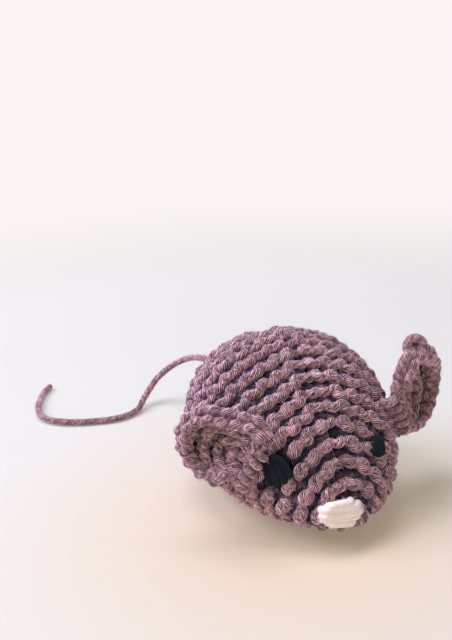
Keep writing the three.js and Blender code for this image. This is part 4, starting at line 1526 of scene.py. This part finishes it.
class MOUSE_OT_stage(bpy.types.Operator):
    """Set up the camera, the plain floor and the soft light"""

    bl_idname = "catnip_mouse.stage"
    bl_label = "Stage"

    def execute(self, context):
        scene = context.scene
        scene.view_settings.view_transform = "Standard"
        eye = bpy.data.cameras.new("picture_camera")
        eye.sensor_width = SENSOR
        eye.lens = FOCAL_PIXELS / IMAGE_HEIGHT * SENSOR
        eye.clip_start = CAMERA_NEAREST
        camera = shown("picture_camera", eye)
        camera.location = CAMERA_PLACE
        level = Euler((math.pi / 2 - CAMERA_TILT, 0.0, CAMERA_TURN)).to_quaternion()
        camera.rotation_euler = (level @ Quaternion((0, 0, 1), CAMERA_ROLL)).to_euler()
        scene.camera = camera

        corners = [(x * FLOOR_REACH, y * FLOOR_REACH, 0.0) for x, y in ((-1, -1), (1, -1), (1, 1), (-1, 1))]
        surface("floor", corners, [(0, 1, 2, 3)], board())

        world = bpy.data.worlds.new("Soft room light")
        world.use_nodes = True
        scene.world = world
        add = partial(add_node, world.node_tree)
        lit = world.node_tree.nodes["Background"]
        set_inputs(lit, {"Color": linear(ROOM_COLOUR), "Strength": ROOM_STRENGTH})
        wall = add("ShaderNodeBackground", {"Color": scene.mouse_colours.backdrop, "Strength": 1.0})
        room = add("ShaderNodeMixShader", {0: seen_directly(add), 1: lit, 2: wall})
        set_inputs(world.node_tree.nodes["World Output"], {"Surface": room})

        for name, (place, size, watts, hex_colour) in LAMPS.items():
            lamp = bpy.data.lights.new(name, "AREA")
            lamp.shape = "DISK"
            lamp.size = size
            lamp.energy = watts
            lamp.color = linear(hex_colour)[:3]
            holder = shown(name, lamp)
            holder.location = place
            way = holder.location - Vector(LAMP_AIM)
            holder.rotation_euler = way.to_track_quat("Z", "Y").to_euler()
        return {"FINISHED"}


class MOUSE_PT_panel(bpy.types.Panel):
    """Sizes, colours and pieces of the catnip mouse"""

    bl_idname = "MOUSE_PT_panel"
    bl_label = "Catnip Mouse"
    bl_space_type = "VIEW_3D"
    bl_region_type = "UI"
    bl_category = "Catnip Mouse"

    def draw(self, context):
        for name in PROPERTY_GROUPS:
            group = getattr(context.scene, name)
            box = self.layout.box()
            for label in group.__annotations__:
                box.prop(group, label)
        for operator in OPERATORS:
            self.layout.operator(operator.bl_idname)


PROPERTY_GROUPS = {
    "mouse_cover": MouseCoverSizes,
    "mouse_yarn": MouseYarnSizes,
    "mouse_knit": MouseKnitSizes,
    "mouse_ears": MouseEarSizes,
    "mouse_sewing": MouseSewingSizes,
    "mouse_tail": MouseTailSizes,
    "mouse_pouch": MousePouchSizes,
    "mouse_colours": MouseColours,
}
OPERATORS = (
    MOUSE_OT_stage,
    MOUSE_OT_tail,
    MOUSE_OT_knit_cover,
    MOUSE_OT_seams,
    MOUSE_OT_ears,
    MOUSE_OT_face,
    MOUSE_OT_stuffing,
    MOUSE_OT_pouch,
)


def register():
    for kind in (*PROPERTY_GROUPS.values(), *OPERATORS, MOUSE_PT_panel):
        bpy.utils.register_class(kind)
    for name, kind in PROPERTY_GROUPS.items():
        setattr(bpy.types.Scene, name, bpy.props.PointerProperty(type=kind))


def unregister():
    for name in PROPERTY_GROUPS:
        delattr(bpy.types.Scene, name)
    for kind in (MOUSE_PT_panel, *reversed(OPERATORS), *reversed(PROPERTY_GROUPS.values())):
        bpy.utils.unregister_class(kind)


def main():
    register()
    bpy.ops.catnip_mouse.stage()
    bpy.ops.catnip_mouse.tail()
    bpy.ops.catnip_mouse.knit_cover()
    bpy.ops.catnip_mouse.seams()
    bpy.ops.catnip_mouse.ears()
    bpy.ops.catnip_mouse.face()
    bpy.ops.catnip_mouse.stuffing()
    bpy.ops.catnip_mouse.pouch()


if __name__ == "__main__":
    main()
